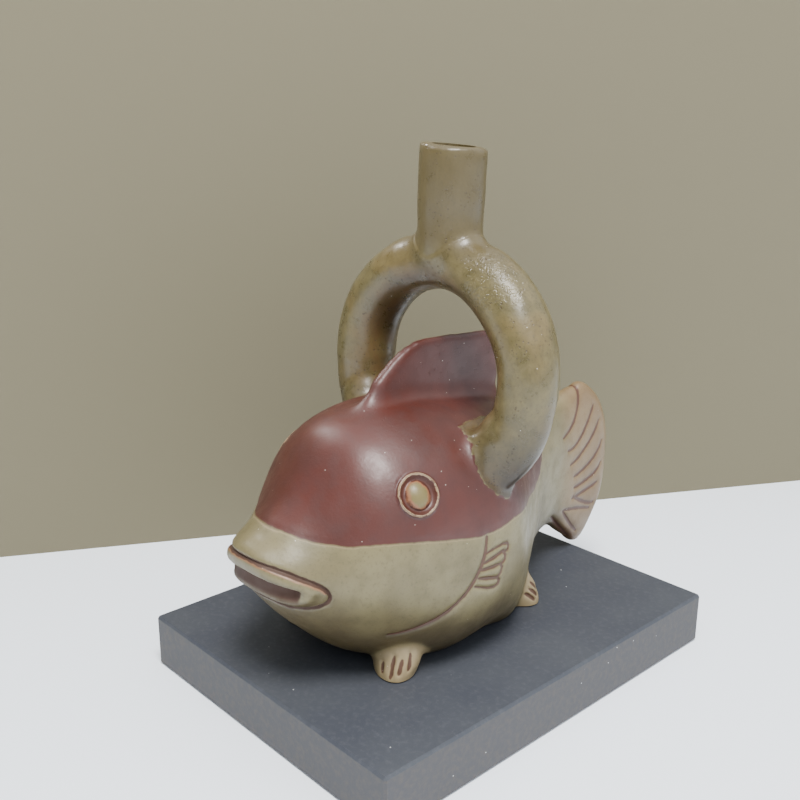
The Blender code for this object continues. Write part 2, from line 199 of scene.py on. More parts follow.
# Strokes on the left flank, each place a setback from the snout and a height above the stand.
LEAF_EDGE = (
    (0.0409, 0.0250), (0.0424, 0.0254), (0.0438, 0.0256), (0.0455, 0.0258), (0.0469, 0.0256), (0.0474, 0.0248),
    (0.0471, 0.0240), (0.0458, 0.0240), (0.0464, 0.0232), (0.0463, 0.0223), (0.0450, 0.0214), (0.0455, 0.0207),
    (0.0452, 0.0196), (0.0443, 0.0187), (0.0450, 0.0179), (0.0448, 0.0171), (0.0437, 0.0167), (0.0418, 0.0170),
    (0.0400, 0.0177), (0.0385, 0.0183),
)
LEAF_VEINS = (
    ((0.0406, 0.0230), (0.0457, 0.0243)),
    ((0.0397, 0.0216), (0.0450, 0.0216)),
    ((0.0393, 0.0199), (0.0444, 0.0187)),
)
TAIL_STROKES = (
    ((0.0913, 0.0322), (0.0967, 0.0362), (0.0990, 0.0437)),
    ((0.0938, 0.0283), (0.0990, 0.0302), (0.1046, 0.0374)),
    ((0.0955, 0.0241), (0.1021, 0.0273), (0.1074, 0.0331)),
    ((0.0974, 0.0204), (0.1046, 0.0227), (0.1092, 0.0273)),
    ((0.0977, 0.0174), (0.1054, 0.0186), (0.1094, 0.0212)),
    ((0.0971, 0.0146), (0.1028, 0.0152), (0.1082, 0.0160)),
    ((0.0975, 0.0150), (0.1032, 0.0118), (0.1071, 0.0107)),
    ((0.0941, 0.0121), (0.0991, 0.0113), (0.1055, 0.0095)),
    ((0.0937, 0.0120), (0.0969, 0.0080), (0.1005, 0.0045)),
    ((0.0894, 0.0116), (0.0941, 0.0072), (0.0985, 0.0031)),
)
# Each toe stroke runs between two places, each a share across the paw and a share of its height.
TOE_STROKES = (
    (
        ((-0.66, 0.16), (-0.68, 0.36)), ((-0.28, 0.10), (-0.30, 0.58)),
        ((0.05, 0.20), (0.04, 0.52)), ((0.42, 0.26), (0.36, 0.62)),
    ),
    (((-0.36, 0.16), (-0.74, 0.39)), ((-0.02, 0.26), (-0.51, 0.53)), ((0.30, 0.40), (-0.20, 0.70))),
)
PAW_NARROWING = (0.14, 0.0)
PAW_LEAN = (0.0013, 0.0)

# The edges of the red slip and of the stirrup's foot, seen from the side.
RED_SLIP = (
    (-0.010, 0.0340), (0.0070, 0.0331), (0.0085, 0.0323), (0.0107, 0.0317), (0.0143, 0.0313), (0.0180, 0.0318),
    (0.0216, 0.0319), (0.0264, 0.0313), (0.0318, 0.0304), (0.0392, 0.0291), (0.0452, 0.0295), (0.0497, 0.0302),
    (0.0557, 0.0299), (0.0620, 0.0284), (0.0709, 0.0268), (0.0766, 0.0283), (0.0783, 0.0313), (0.0796, 0.0357),
    (0.0780, 0.0420), (0.0750, 0.0480), (0.0730, 0.0580), (0.0730, 0.0780), (-0.010, 0.0780),
)
LEG_SLIP = (
    (0.0500, 0.0560), (0.0442, 0.0550), (0.0436, 0.0500), (0.0440, 0.0474), (0.0433, 0.0462), (0.0424, 0.0450),
    (0.0418, 0.0430), (0.0421, 0.0410), (0.0427, 0.0390), (0.0435, 0.0377), (0.0447, 0.0365), (0.0459, 0.0356),
    (0.0473, 0.0348), (0.0486, 0.0344), (0.0497, 0.0347), (0.0508, 0.0360), (0.0520, 0.0380), (0.0536, 0.0402),
    (0.0556, 0.0430), (0.0580, 0.0470), (0.0580, 0.0560),
)
LEG_SLIP_INNER = 0.0122
LEG_SLIP_SLANT = 0.25
LEG_SLIP_SLANT_FROM = 0.0498
LEG_SLIP_MARGIN = 0.0007
LEG_SLIP_OVER_TUBE = 0.0400

# Colours of the slips, washes, painted shade and painted light, and of the dyed board, as sRGB hex.
CREAM_LIGHT = "706747"
CREAM = "665D3F"
CREAM_DULL = "595234"
CREAM_SPECK = "4B4129"
OLIVE = "665C3C"
OLIVE_DARK = "524A2E"
OCHRE = "68552E"
SPOUT_LIGHT = "5B5033"
SPOUT_DARK = "483E26"
SPECK = "3E301D"
RED = "492018"
RED_DEEP = "3F1C15"
RED_PURPLE = "391A16"
WASH = "48281A"
WASH_DARK = "3C2116"
FRINGE = "85583C"
# painted light on the paws
LIT_PAW = "968463"
# the eye's ring, and a painted highlight beside the red slip's edge
RING_AND_EDGE_HIGHLIGHT = "9A8364"
PUPIL = "685C35"
DUST = "E6DFD2"
# painted shade, on what faces down and low on the legs
SHADE_TINT = "8A7460"
# painted shade and a painted red reflection on the stirrup's inner side
SHADE_AND_RED_REFLECTION = "5A4429"
BOARD_DARK = "2F323A"
BOARD_GREY = "36393F"
BOARD_PALE = "46484E"
BOARD_SIDE = "3D3C3F"
BOARD_BROWN = "474340"
BOARD_DUST = "E2E2E2"
TABLETOP = "F2F8FF"
BACKDROP = "6C6651"

# The masks that the bottle's mesh carries for its paint, painted shade and painted light among them.
PAINTED = ("pupil", "brow", "shade_below", "paw_light", "stroke", "lips", "gape", "eye", "red_slip", "leg_slip")

# The grains of the clay, each a size in metres, its detail and its roughness, and sizes of other patterns.
BROAD_GRAIN = (0.012, 2, 0.5)
MOTTLE_GRAIN = (0.0030, 5, 0.6)
FINE_GRAIN = (0.0006, 3, 0.6)
RAGGED_GRAIN = (0.0016, 3, 0.5)
SPECK_SPACING = 0.0009
SPECK_CLUSTER = 0.004
CLAY_DUST_SPACING = 0.0022
CRINKLE_SIZE = 0.0013
CRINKLE_PLACE = (0.0170, -0.0020, 0.0905)
CRINKLE_REACH = (0.004, 0.009)
BOARD_MOTTLE = 0.015
BOARD_FIBRE = 0.0012
BOARD_DUST_SPACING = 0.0030

# Bands of wash and wear, and a painted highlight, each the span in mm over which it comes in and the span over
# which it goes out. Those of the eye are measured from its middle, and the others from their line.
HOLLOW_BAND = ((2.3, 2.6), (3.6, 3.8))
RING_BAND = ((3.72, 3.84), (4.14, 4.26))
RING_CREASE = ((3.90, 3.98), (4.02, 4.10))
SEAM_BAND = ((-0.22, -0.08), (-0.08, 0.08))
# a painted highlight on the cream beside the red slip's edge
EDGE_HIGHLIGHT_BAND = ((-0.55, -0.35), (-0.35, -0.20))
FRINGE_BAND = ((0.4, 0.5), (0.80, 1.0))
GROOVE_BAND = ((-0.52, -0.32), (0.28, 0.46))
GROOVE_WIDER_ABOVE = 0.22

# Each row is a section across the fish: its setback from the snout as a share of the length, its top and
# bottom as shares of the height, its half width as a share of the width, and how square it is above and below.
SECTIONS = (
    (0.000, 0.530, 0.530, 0.000, 2.0, 2.0),
    (0.013, 0.566, 0.425, 0.128, 1.8, 2.0),
    (0.044, 0.594, 0.331, 0.216, 1.8, 2.0),
    (0.099, 0.691, 0.191, 0.292, 1.8, 2.0),
    (0.191, 0.909, 0.035, 0.434, 2.0, 2.2),
    (0.326, 0.963, -0.065, 0.500, 2.2, 2.45),
    (0.458, 0.931, -0.074, 0.496, 2.2, 2.25),
    (0.581, 0.894, -0.098, 0.312, 2.2, 3.2),
    (0.695, 0.828, 0.069, 0.164, 2.2, 2.2),
    (0.783, 0.781, 0.161, 0.096, 2.4, 2.4),
    (0.854, 0.796, 0.075, 0.072, 3.0, 3.0),
    (0.902, 0.811, 0.009, 0.060, 3.6, 3.6),
    (0.968, 0.672, 0.170, 0.050, 3.6, 3.6),
    (1.000, 0.420, 0.420, 0.000, 2.6, 2.6),
)

# The stage: the tabletop, the backdrop with its middle and its turn from the X axis, and the light.
TABLETOP_SIZE = 3.0
BACKDROP_SIZE = (0.50, 0.152)
BACKDROP_PLACE = (-0.055, 0.058)
BACKDROP_TURN = math.radians(61.3)
CEILING_TOWARDS = (0.40, 0.10, 0.91)
ROOM_COLOUR = (0.90, 0.95, 1.0, 1.0)
ROOM_STRENGTHS = (0.22, 1.95)
LAMP_COLOUR = (1.0, 0.98, 0.96)
# Each lamp has its name, its place, where it points, its size and its power in watts.
LAMPS = (
    ("lamp_left", (-0.69, -0.08, 0.64), (0, -0.02, 0.05), 0.17, 7.2),
    ("panel_above", (0.27, -0.20, 0.84), (0, 0, 0.05), 0.32, 14.0),
)

# The camera stands where the photograph was taken from.
CAMERA_PLACE = (0.14839, -0.14854, 0.12498)
CAMERA_AZIMUTH = math.radians(47.2361)
CAMERA_ELEVATION = math.radians(16.8982)
CAMERA_ROLL = math.radians(0.2755)
CAMERA_LENS = 45.595

STAND = PLINTH_THICKNESS + REST_GAP
SNOUT = -PLINTH_LENGTH / 2 - SNOUT_OVERHANG
CROWN = STAND + STIRRUP_CROWN_HEIGHT
SPOUT_TOP = STAND + SPOUT_TOP_HEIGHT
SPOUT_Y = SNOUT + STIRRUP_SETBACK


# The sections of the fish

def roundness(share):
    return math.acos(max(-1.0, min(1.0, 1 - 2 * share)))


def section(y):
    """Half width, top, bottom and the two squarenesses of the fish's section at y, in metres."""
    angle = roundness((y - SNOUT) / FISH_LENGTH)
    knots = [roundness(row[0]) for row in SECTIONS]
    last = len(knots) - 1
    right = next((k for k in range(1, last) if knots[k] >= angle), last)
    left = right - 1
    span = knots[right] - knots[left]
    t = (angle - knots[left]) / span

    def slope(k, column):
        before = max(0, k - 1)
        after = min(last, k + 1)
        return span * (SECTIONS[after][column] - SECTIONS[before][column]) / (knots[after] - knots[before])

    def value(column):
        return (
            (2 * t**3 - 3 * t**2 + 1) * SECTIONS[left][column]
            + (t**3 - 2 * t**2 + t) * slope(left, column)
            + (3 * t**2 - 2 * t**3) * SECTIONS[right][column]
            + (t**3 - t**2) * slope(right, column)
        )

    top = STAND + FISH_HEIGHT * value(1)
    bottom = STAND + FISH_HEIGHT * value(2)
    return FISH_WIDTH * value(3), top, bottom, value(4), value(5)


def on_section(y, turn, inset=0.0, scale=1.0):
    half_width, top, bottom, above, below = section(y)
    across = math.cos(turn)
    up = math.sin(turn)
    power = 2 / (above if up > 0 else below)
    half_height = (top - bottom) / 2
    x = scale * (half_width - inset) * math.copysign(abs(across) ** power, across)
    z = (top + bottom) / 2 + scale * (half_height - inset) * math.copysign(abs(up) ** power, up)
    return Vector((x, y, z))


def flank_x(y, z):
    """Half the fish's width at y and z, or 0 outside its outline."""
    half_width, top, bottom, above, below = section(y)
    half_height = (top - bottom) / 2
    rise = (z - (top + bottom) / 2) / half_height
    power = above if rise > 0 else below
    return half_width * max(0.0, 1 - abs(rise) ** power) ** (1 / power)


def front_y(x, z):
    """Where the front of the head is at x and z."""
    near = SNOUT
    far = SNOUT + 0.3 * FISH_LENGTH
    for _ in range(30):
        middle = (near + far) / 2
        if flank_x(middle, z) > abs(x):
            far = middle
        else:
            near = middle
    return far


def on_flank(setback, height):
    y = SNOUT + setback
    z = STAND + height
    return Vector((flank_x(y, z), y, z))


def stirrup_point(turn):
    """The stirrup's centre line, 0 at the crown, a quarter turn at a shoulder and then down the leg."""
    quarter = math.pi / 2
    side = math.copysign(1.0, turn)
    if abs(turn) <= quarter:
        x = STIRRUP_HALF_SPAN * math.sin(turn)
        rise = STIRRUP_CROWN_HEIGHT - STIRRUP_SHOULDER_HEIGHT
        height = STIRRUP_SHOULDER_HEIGHT + rise * math.cos(turn)
    else:
        down = (abs(turn) - quarter) / quarter
        x = side * (STIRRUP_HALF_SPAN - (STIRRUP_HALF_SPAN - STIRRUP_FOOT_HALF_SPAN) * down**2)
        height = STIRRUP_SHOULDER_HEIGHT + (STIRRUP_FOOT_HEIGHT - STIRRUP_SHOULDER_HEIGHT) * down
    lean = STIRRUP_LEAN * (STIRRUP_CROWN_HEIGHT - height)
    return Vector((x, SPOUT_Y - lean, STAND + height))


def stirrup_radius(turn):
    swell = math.sin(min(abs(turn), math.pi / 2))
    taper = max(0.0, 2 * abs(turn) / math.pi - 1)
    radius = STIRRUP_CROWN_RADIUS + (STIRRUP_SHOULDER_RADIUS - STIRRUP_CROWN_RADIUS) * swell
    return radius + (STIRRUP_FOOT_RADIUS - STIRRUP_SHOULDER_RADIUS) * taper**2


def mouth_line(x):
    """The height of the line between the lips."""
    return STAND + MOUTH_HEIGHT - MOUTH_DROOP * (abs(x) / MOUTH_HALF_WIDTH) ** 2


def mouth_outward(x):
    return Vector((x, -0.6 * MOUTH_HALF_WIDTH, 0)).normalized()


# Working on meshes

def only(obj):
    """Select one object alone and make it the active one."""
    bpy.ops.object.select_all(action="DESELECT")
    obj.select_set(True)
    bpy.context.view_layer.objects.active = obj
    return obj


def apply_modifier(obj, kind, **settings):
    only(obj)
    modifier = obj.modifiers.new(kind.lower(), kind)
    for name, value in settings.items():
        setattr(modifier, name, value)
    bpy.ops.object.modifier_apply(modifier=modifier.name)
    return obj


def ball(name, rings, sides):
    """A unit ball whose poles lie on Y."""
    bpy.ops.mesh.primitive_uv_sphere_add(segments=sides, ring_count=rings, radius=1.0)
    obj = bpy.context.object
    obj.name = name
    obj.data.transform(Matrix.Rotation(math.radians(90), 4, "X"))
    return obj


def tube(name, points, radii, closed=False, resolution=6):
    curve = bpy.data.curves.new(name, "CURVE")
    curve.dimensions = "3D"
    curve.bevel_depth = 1.0
    curve.bevel_resolution = resolution
    curve.use_fill_caps = not closed
    spline = curve.splines.new("POLY")
    spline.points.add(len(points) - 1)
    spline.use_cyclic_u = closed
    for spot, point, radius in zip(spline.points, points, radii):
        spot.co = (*point, 1.0)
        spot.radius = radius
    obj = bpy.data.objects.new(name, curve)
    bpy.context.scene.collection.objects.link(obj)
    only(obj)
    bpy.ops.object.convert(target="MESH")
    bpy.ops.object.mode_set(mode="EDIT")
    bpy.ops.mesh.select_all(action="SELECT")
    bpy.ops.mesh.remove_doubles(threshold=0.00001)
    bpy.ops.mesh.normals_make_consistent(inside=False)
    bpy.ops.object.mode_set(mode="OBJECT")
    return bpy.context.object


def points_of(obj):
    found = np.empty(3 * len(obj.data.vertices))
    obj.data.vertices.foreach_get("co", found)
    return found.reshape(-1, 3)


def normals_of(obj):
    found = np.empty(3 * len(obj.data.vertices))
    obj.data.vertex_normals.foreach_get("vector", found)
    return found.reshape(-1, 3)


def move_points(obj, places):
    obj.data.vertices.foreach_set("co", places.reshape(-1))
    obj.data.update()


def distance_to(places, line):
    """How far each place is from a line of points, in metres, and how far along the line it lies, 0 to 1."""
    line = np.array(line)
    best = np.full(len(places), FAR)
    along = np.zeros(len(places))
    low = line.min(axis=0) - LINE_REACH
    high = line.max(axis=0) + LINE_REACH
    near = np.nonzero(((places > low) & (places < high)).all(axis=1))[0]
    if not len(near):
        return best, along
    close = places[near]
    lengths = np.concatenate([[0], np.cumsum(np.linalg.norm(np.diff(line, axis=0), axis=1))])
    found = best[near]
    found_along = along[near]
    for k in range(len(line) - 1):
        start = line[k]
        run = line[k + 1] - start
        t = np.clip((close - start) @ run / (run @ run), 0, 1)
        gap = np.linalg.norm(close - start - t[:, None] * run, axis=1)
        nearer = gap < found
        found[nearer] = gap[nearer]
        found_along[nearer] = (lengths[k] + t[nearer] * (lengths[k + 1] - lengths[k])) / lengths[-1]
    best[near] = found
    along[near] = found_along
    return best, along


def step(low, high, values):
    """A smooth step from 0 at low to 1 at high."""
    t = np.clip((values - low) / (high - low), 0, 1)
    return t * t * (3 - 2 * t)


# The forms of the bottle

def body_form():
    """The body and the tail fan, one ball drawn out through all the sections."""
    obj = ball("body", 130, 128)
    for vertex in obj.data.vertices:
        x, y, z = vertex.co
        vertex.co = on_section(SNOUT + FISH_LENGTH * (1 + y) / 2, math.atan2(z, x))
    return obj


def lip_form(side):
    spacing, radius = UPPER_LIP if side > 0 else LOWER_LIP
    points = []
    radii = []
    reach = MOUTH_HALF_WIDTH * (1 if side > 0 else LOWER_LIP_REACH)
    steps = 48
    for k in range(steps + 1):
        turn = math.pi * (k / steps - 0.5)
        x = reach * math.sin(turn)
        middle = abs(math.cos(turn))
        spread = LIP_SPACING_AT_CORNERS + (1 - LIP_SPACING_AT_CORNERS) * middle**0.8
        z = mouth_line(x) + side * spacing * spread
        sink = LIP_SINK_AT_SNOUT + (LIP_SINK_AT_CORNERS - LIP_SINK_AT_SNOUT) * (x / reach) ** 2
        if side < 0:
            sink += LOWER_LIP_EXTRA_SINK
        points.append(Vector((x, front_y(x, z), z)) - sink * mouth_outward(x))
        radii.append(radius * (LIP_RADIUS_AT_CORNERS + (1 - LIP_RADIUS_AT_CORNERS) * middle))
    return tube("lip", points, radii)


def fin_form():
    """The back fin: a flat outline with thickness, thinned towards its top edge."""
    back = section(SNOUT + FIN_START)[1]
    crest = STAND + FIN_HEIGHT
    start = SNOUT + FIN_START
    end = SNOUT + FIN_END
    outline = [(end, section(end)[1] - FIN_SINK), (start, back - FIN_SINK), (start, back)]
    for k in range(1, 19):
        y = start + (FIN_CREST_START - FIN_START) * k / 18
        outline.append((y, back + (crest - back) * math.sin(math.radians(5 * k))))
    for k in range(7):
        turn = math.radians(15 * k)
        y = end - FIN_CORNER * (1 - math.sin(turn))
        outline.append((y, crest - FIN_DROP - FIN_CORNER * (1 - math.cos(turn))))
    bpy.ops.mesh.primitive_plane_add(size=0.001)
    obj = bpy.context.object
    obj.name = "back_fin"
    skin = bmesh.new()
    face = skin.faces.new([skin.verts.new((0, y, z)) for y, z in outline])
    bmesh.ops.translate(skin, verts=skin.verts, vec=(-0.5, 0, 0))
    raised = bmesh.ops.extrude_face_region(skin, geom=[face])["geom"]
    bmesh.ops.translate(skin, verts=[v for v in raised if isinstance(v, bmesh.types.BMVert)], vec=(1, 0, 0))
    root = back - FIN_SINK
    for vertex in skin.verts:
        share = max(0.0, min(1.0, (vertex.co.z - root) / (crest - root)))
        vertex.co.x *= FIN_ROOT_THICKNESS + (FIN_EDGE_THICKNESS - FIN_ROOT_THICKNESS) * share
    bmesh.ops.recalc_face_normals(skin, faces=skin.faces)
    skin.to_mesh(obj.data)
    skin.free()
    return obj


def on_paw(pair, side, across, along, up):
    """A place on a paw of the front or rear pair, from one on a unit ball. It narrows and leans downwards."""
    setback, half_spacing, heading, length, width, height = FEET[pair]
    low = max(0.0, 1 - max(0.0, up) / 0.6)
    narrow = 1 - PAW_NARROWING[pair] * low**2
    lean = PAW_LEAN[pair] * low * math.sqrt(0.5)
    centre = Vector((side * (half_spacing - lean), SNOUT + setback - lean, STAND))
    place = Vector((across * width / 2 * narrow, along * length / 2, up * height))
    return centre + Matrix.Rotation(side * heading, 3, "Z") @ place


def foot_form(side, pair):
    obj = ball("foot", 24, 32)
    for vertex in obj.data.vertices:
        vertex.co = on_paw(pair, side, *vertex.co)
    return obj


def stirrup_form():
    """The stirrup's tube, its left leg drawn out a little thinner and both legs swept forward to a point."""
    points = []
    radii = []
    for k in range(-60, 61):
        turn = math.pi * k / 60
        drawn = math.exp(-(((turn - LEFT_LEG_TURN) / LEFT_LEG_SPREAD) ** 2))
        ending = max(0.0, (abs(turn) / math.pi - LEG_END_START) / (1 - LEG_END_START)) ** 1.5
        points.append(stirrup_point(turn) + Vector((LEFT_LEG_OUT * drawn, -LEG_SWEEP * ending, 0)))
        radii.append(stirrup_radius(turn) - LEFT_LEG_THINNING * drawn - LEG_POINTING * ending)
    return tube("stirrup", points, radii, resolution=10)


def leg_root_form(side):
    """The clay that was pressed on in front of a leg, so that it swells into the back."""
    points = [Vector((side * x, SNOUT + setback, STAND + height)) for (x, setback, height), _ in LEG_ROOT]
    return tube("leg_root", points, [radius for _, radius in LEG_ROOT])


def lean_spout(obj):
    """Lean the spout back a little, and let its rim fall away to the fish's left."""
    for vertex in obj.data.vertices:
        share = (vertex.co.z - CROWN) / (SPOUT_TOP - CROWN)
        vertex.co.z -= share * SPOUT_RIM_SLANT * (vertex.co.x + vertex.co.y - SPOUT_Y)
        vertex.co.y += SPOUT_LEAN * (vertex.co.z - CROWN)
    return obj


def spout_form():
    bpy.ops.mesh.primitive_cylinder_add(vertices=64, radius=SPOUT_RADIUS, depth=SPOUT_TOP - CROWN)
    obj = bpy.context.object
    obj.name = "spout"
    obj.data.transform(Matrix.Translation((0, SPOUT_Y, (CROWN + SPOUT_TOP) / 2)))
    return lean_spout(obj)


def run_together(forms):
    """All the forms as one skin of clay on an even grid, with the marks of the grid rubbed out."""
    bpy.ops.object.select_all(action="DESELECT")
    for form in forms:
        form.select_set(True)
    bpy.context.view_layer.objects.active = forms[0]
    bpy.ops.object.join()
    clay = bpy.context.object
    apply_modifier(clay, "REMESH", mode="VOXEL", voxel_size=CLAY_GRID, adaptivity=0.0)
    apply_modifier(clay, "SMOOTH", factor=0.5, iterations=5)
    return clay


def fillet_weights(places):
    """Where wet clay was smoothed into a hollow, round the roots of the fin, feet, legs and spout."""
    weights = np.zeros(len(places))
    folded = mirrored(places)
    ridge = []
    for k in range(24):
        y = SNOUT + FIN_START + (FIN_END - FIN_START) * k / 23
        ridge.append((0, y, section(y)[1]))
    gap, _ = distance_to(places, ridge)
    weights = np.maximum(weights, 1 - step(*FIN_FILLET, gap))
    collar = np.hypot(places[:, 0], places[:, 1] - SPOUT_Y)
    rise = places[:, 2] - CROWN
    near = 1 - step(*SPOUT_FILLET_HEIGHT, np.abs(rise - SPOUT_FILLET_RISE))
    near *= 1 - step(*SPOUT_FILLET_REACH, collar)
    weights = np.maximum(weights, near)
    for setback, half_spacing, heading, length, width, height in FEET:
        root = np.array((half_spacing - 0.002, SNOUT + setback, STAND + height))
        gap = np.linalg.norm(folded - root, axis=1)
        weights = np.maximum(weights, 0.5 * (1 - step(*FOOT_FILLET, gap)))
    leg = np.array(LEG_FILLET_PLACE) + (0, SPOUT_Y, STAND)
    gap = np.linalg.norm(folded - leg, axis=1)
    weights = np.maximum(weights, 1 - step(*LEG_FILLET, gap))
    return weights


def smooth_fillets(clay):
    group = clay.vertex_groups.new(name="fillets")
    weights = fillet_weights(points_of(clay))
    for k in np.nonzero(weights > 0.01)[0]:
        group.add([int(k)], float(weights[k]), "REPLACE")
    apply_modifier(clay, "SMOOTH", factor=0.5, iterations=45, vertex_group="fillets")
    clay.vertex_groups.clear()


# The lines

def stroke_arc(ends):
    """An arc on the left flank through three places, each a setback and a height."""
    points = []
    for k in range(13):
        t = k / 12
        weights = ((1 - t) * (1 - 2 * t), 4 * t * (1 - t), t * (2 * t - 1))
        setback, height = (sum(w * end[i] for w, end in zip(weights, ends)) for i in (0, 1))
        points.append(on_flank(setback, height))
    return points


def stroke_path(places):
    """A line on the left flank through any number of places, straight from each to the next."""
    points = []
    for (start, start_height), (end, end_height) in zip(places[:-1], places[1:]):
        for k in range(5):
            t = k / 4
            points.append(on_flank(start + (end - start) * t, start_height + (end_height - start_height) * t))
    return points


def gill_line():
    points = []
    for k in range(41):
        t = k / 40
        setback, height = (
            (1 - t) ** 2 * GILL_TOP[i] + 2 * t * (1 - t) * GILL_BEND[i] + t**2 * GILL_END[i] for i in (0, 1)
        )
        points.append(on_flank(setback, height))
    return points


def toe_lines(pair):
    """The strokes over the front of a left paw, which part its toes."""
    lines = []
    for start, end in TOE_STROKES[pair]:
        points = []
        for k in range(9):
            across, up = (first + (last - first) * k / 8 for first, last in zip(start, end))
            out = math.sqrt(max(0.0, 1 - across**2 - up**2))
            points.append(on_paw(pair, 1, across, -out, up))
        lines.append(points)
    return lines


def flank_strokes():
    """Every stroke on the left side, with its half width and its depth."""
    strokes = [(gill_line(), *GILL_STROKE)]
    strokes.append((stroke_path(LEAF_EDGE), *LEAF_STROKE))
    for vein in LEAF_VEINS:
        strokes.append((stroke_path(vein), *VEIN_STROKE))
    for ray in TAIL_STROKES:
        strokes.append((stroke_arc(ray), *TAIL_STROKE))
    for pair in range(len(FEET)):
        for line in toe_lines(pair):
            strokes.append((line, *TOE_STROKE))
    return strokes


def mirrored(places):
    """Places folded over to the left side, where all the lines are drawn."""
    folded = places.copy()
    folded[:, 0] = np.abs(folded[:, 0])
    return folded


def round_the_head(places):
    """Places unrolled round the head: how far round from its middle, and how high."""
    turn = np.arctan2(places[:, 0], HEAD_MIDDLE - places[:, 1])
    return np.stack([turn * HEAD_RADIUS, places[:, 2], 0 * turn], axis=1)


def groove_rise(half, share):
    """How far the groove is over the line between the lips, at a share of the way out to its corner."""
    if half > 0:
        return UPPER_GROOVE_RISE * (1 - share**5) ** 0.45 + CORNER_LIFT * share**3
    return CORNER_LIFT * share**3 - LOWER_GROOVE_DROP * (1 - share**2.8) ** 0.50


def mouth_outline(half):
    """The groove round the lips, above for half 1 and below for -1."""
    points = []
    for k in range(41):
        x = MOUTH_GROOVE_REACH * math.cos(math.pi * k / 40)
        share = min(1.0, abs(x) / MOUTH_GROOVE_REACH)
        z = mouth_line(x) + groove_rise(half, share)
        points.append((x, front_y(x, z), z))
    return round_the_head(np.array(points))


def mouth_slit():
    points = []
    for k in range(41):
        x = SLIT_REACH * math.sin(math.pi / 2 * (k / 20 - 1))
        z = mouth_line(x)
        points.append((x, front_y(x, z), z))
    return round_the_head(np.array(points))


def eye_frame():
    """The left eye's centre on the flank, and the flank's outward direction there."""
    small = 0.0005
    y = SNOUT + EYE_SETBACK
    z = STAND + EYE_HEIGHT
    along = Vector((flank_x(y + small, z) - flank_x(y - small, z), 2 * small, 0))
    upward = Vector((flank_x(y, z + small) - flank_x(y, z - small), 0, 2 * small))
    return np.array((flank_x(y, z), y, z)), np.array(along.cross(upward).normalized())


def eye_reach(places):
    """How far each place is from the nearer eye's axis, in metres."""
    centre, outward = eye_frame()
    apart = mirrored(places) - centre
    depth = apart @ outward
    reach = np.linalg.norm(apart - depth[:, None] * outward, axis=1)
    return np.where(np.abs(depth) < 0.004, reach, 0.05)


def region_edge(places, outline):
    """How far inside an outline seen from the side each place is, in metres, and less than 0 outside."""
    outline = np.array(outline)
    y = places[:, 1] - SNOUT
    z = places[:, 2] - STAND
    inside = np.zeros(len(places), bool)
    best = np.full(len(places), 1.0)
    for start, end in zip(outline, np.roll(outline, -1, axis=0)):
        run = end - start
        t = np.clip(((y - start[0]) * run[0] + (z - start[1]) * run[1]) / (run @ run), 0, 1)
        gap = np.hypot(y - start[0] - t * run[0], z - start[1] - t * run[1])
        best = np.minimum(best, gap)
        if run[1] != 0:
            crossing = start[0] + (z - start[1]) / run[1] * run[0]
            inside ^= ((start[1] > z) != (end[1] > z)) & (y < crossing)
    return np.where(inside, best, -best)


def stirrup_reach(places):
    """How far each place is outside the stirrup's tube, in metres."""
    best = np.full(len(places), 0.05)
    folded = mirrored(places)
    for k in range(61):
        turn = math.pi * k / 60
        gap = np.linalg.norm(folded - np.array(stirrup_point(turn)), axis=1) - stirrup_radius(turn)
        best = np.minimum(best, gap)
    return best


# Cutting

def refine(clay, near):
    """Split the faces whose points are all near a line, and even out the new points."""
    only(clay)
    bpy.ops.object.mode_set(mode="EDIT")
    bpy.ops.mesh.select_mode(type="VERT")
    bpy.ops.mesh.select_all(action="DESELECT")
    bpy.ops.object.mode_set(mode="OBJECT")
    clay.data.vertices.foreach_set("select", near)
    bpy.ops.object.mode_set(mode="EDIT")
    bpy.ops.mesh.subdivide(number_cuts=1, smoothness=0.0)
    bpy.ops.mesh.vertices_smooth(factor=0.5, repeat=2)
    bpy.ops.object.mode_set(mode="OBJECT")


def line_reach(places):
    """How far each place is outside the nearest stroke, and how deep that stroke is pressed, in metres."""
    folded = mirrored(places)
    reach = np.full(len(places), FAR)
    depth = np.zeros(len(places))
    for line, half_width, deep in flank_strokes():
        gap, along = distance_to(folded, line)
        taper = 1 - 0.35 * np.abs(2 * along - 1) ** 4
        reach = np.minimum(reach, gap - half_width * taper)
        depth = np.maximum(depth, deep * np.exp(-((gap / (1.25 * half_width)) ** 2)))
    return reach, depth


def mouth_reach(places):
    """How far inside the groove round the lips each place is, and how far below the slit between them."""
    unrolled = round_the_head(places)
    front = places[:, 1] < HEAD_MIDDLE + 0.004
    gap = np.minimum(distance_to(unrolled, mouth_outline(1))[0], distance_to(unrolled, mouth_outline(-1))[0])
    share = np.clip(np.abs(places[:, 0]) / MOUTH_GROOVE_REACH, 0, 1)
    line = mouth_line(places[:, 0])
    above = places[:, 2] - line - groove_rise(1, share)
    below = line + groove_rise(-1, share) - places[:, 2]
    inside = (above < 0) & (below < 0) & (np.abs(places[:, 0]) < MOUTH_GROOVE_REACH)
    lips = np.where(front, np.where(inside, gap, -gap), -FAR)
    slit = distance_to(unrolled, mouth_slit())[0]
    gape = np.where(front & inside, np.where(places[:, 2] < line, slit, -slit), -FAR)
    return lips, gape


def mouth_relief(lips, gape, beside):
    """The groove round the lips, and the lower lip's face sloping in to the slit between the corners."""
    width = np.where(lips > 0, GROOVE_WIDTH_INSIDE, GROOVE_WIDTH_OUTSIDE)
    groove = GROOVE_DEPTH * np.exp(-((lips / width) ** 2))
    lower = np.clip(1 - gape / GAPE, 0, 1)
    upper = np.exp(-((gape / SLIT_UPPER_WIDTH) ** 2))
    slit = SLIT_DEPTH * np.where(gape > 0, lower, upper)
    return -np.maximum(groove, slit * (1 - step(SLIT_NARROWS, SLIT_REACH, beside)))


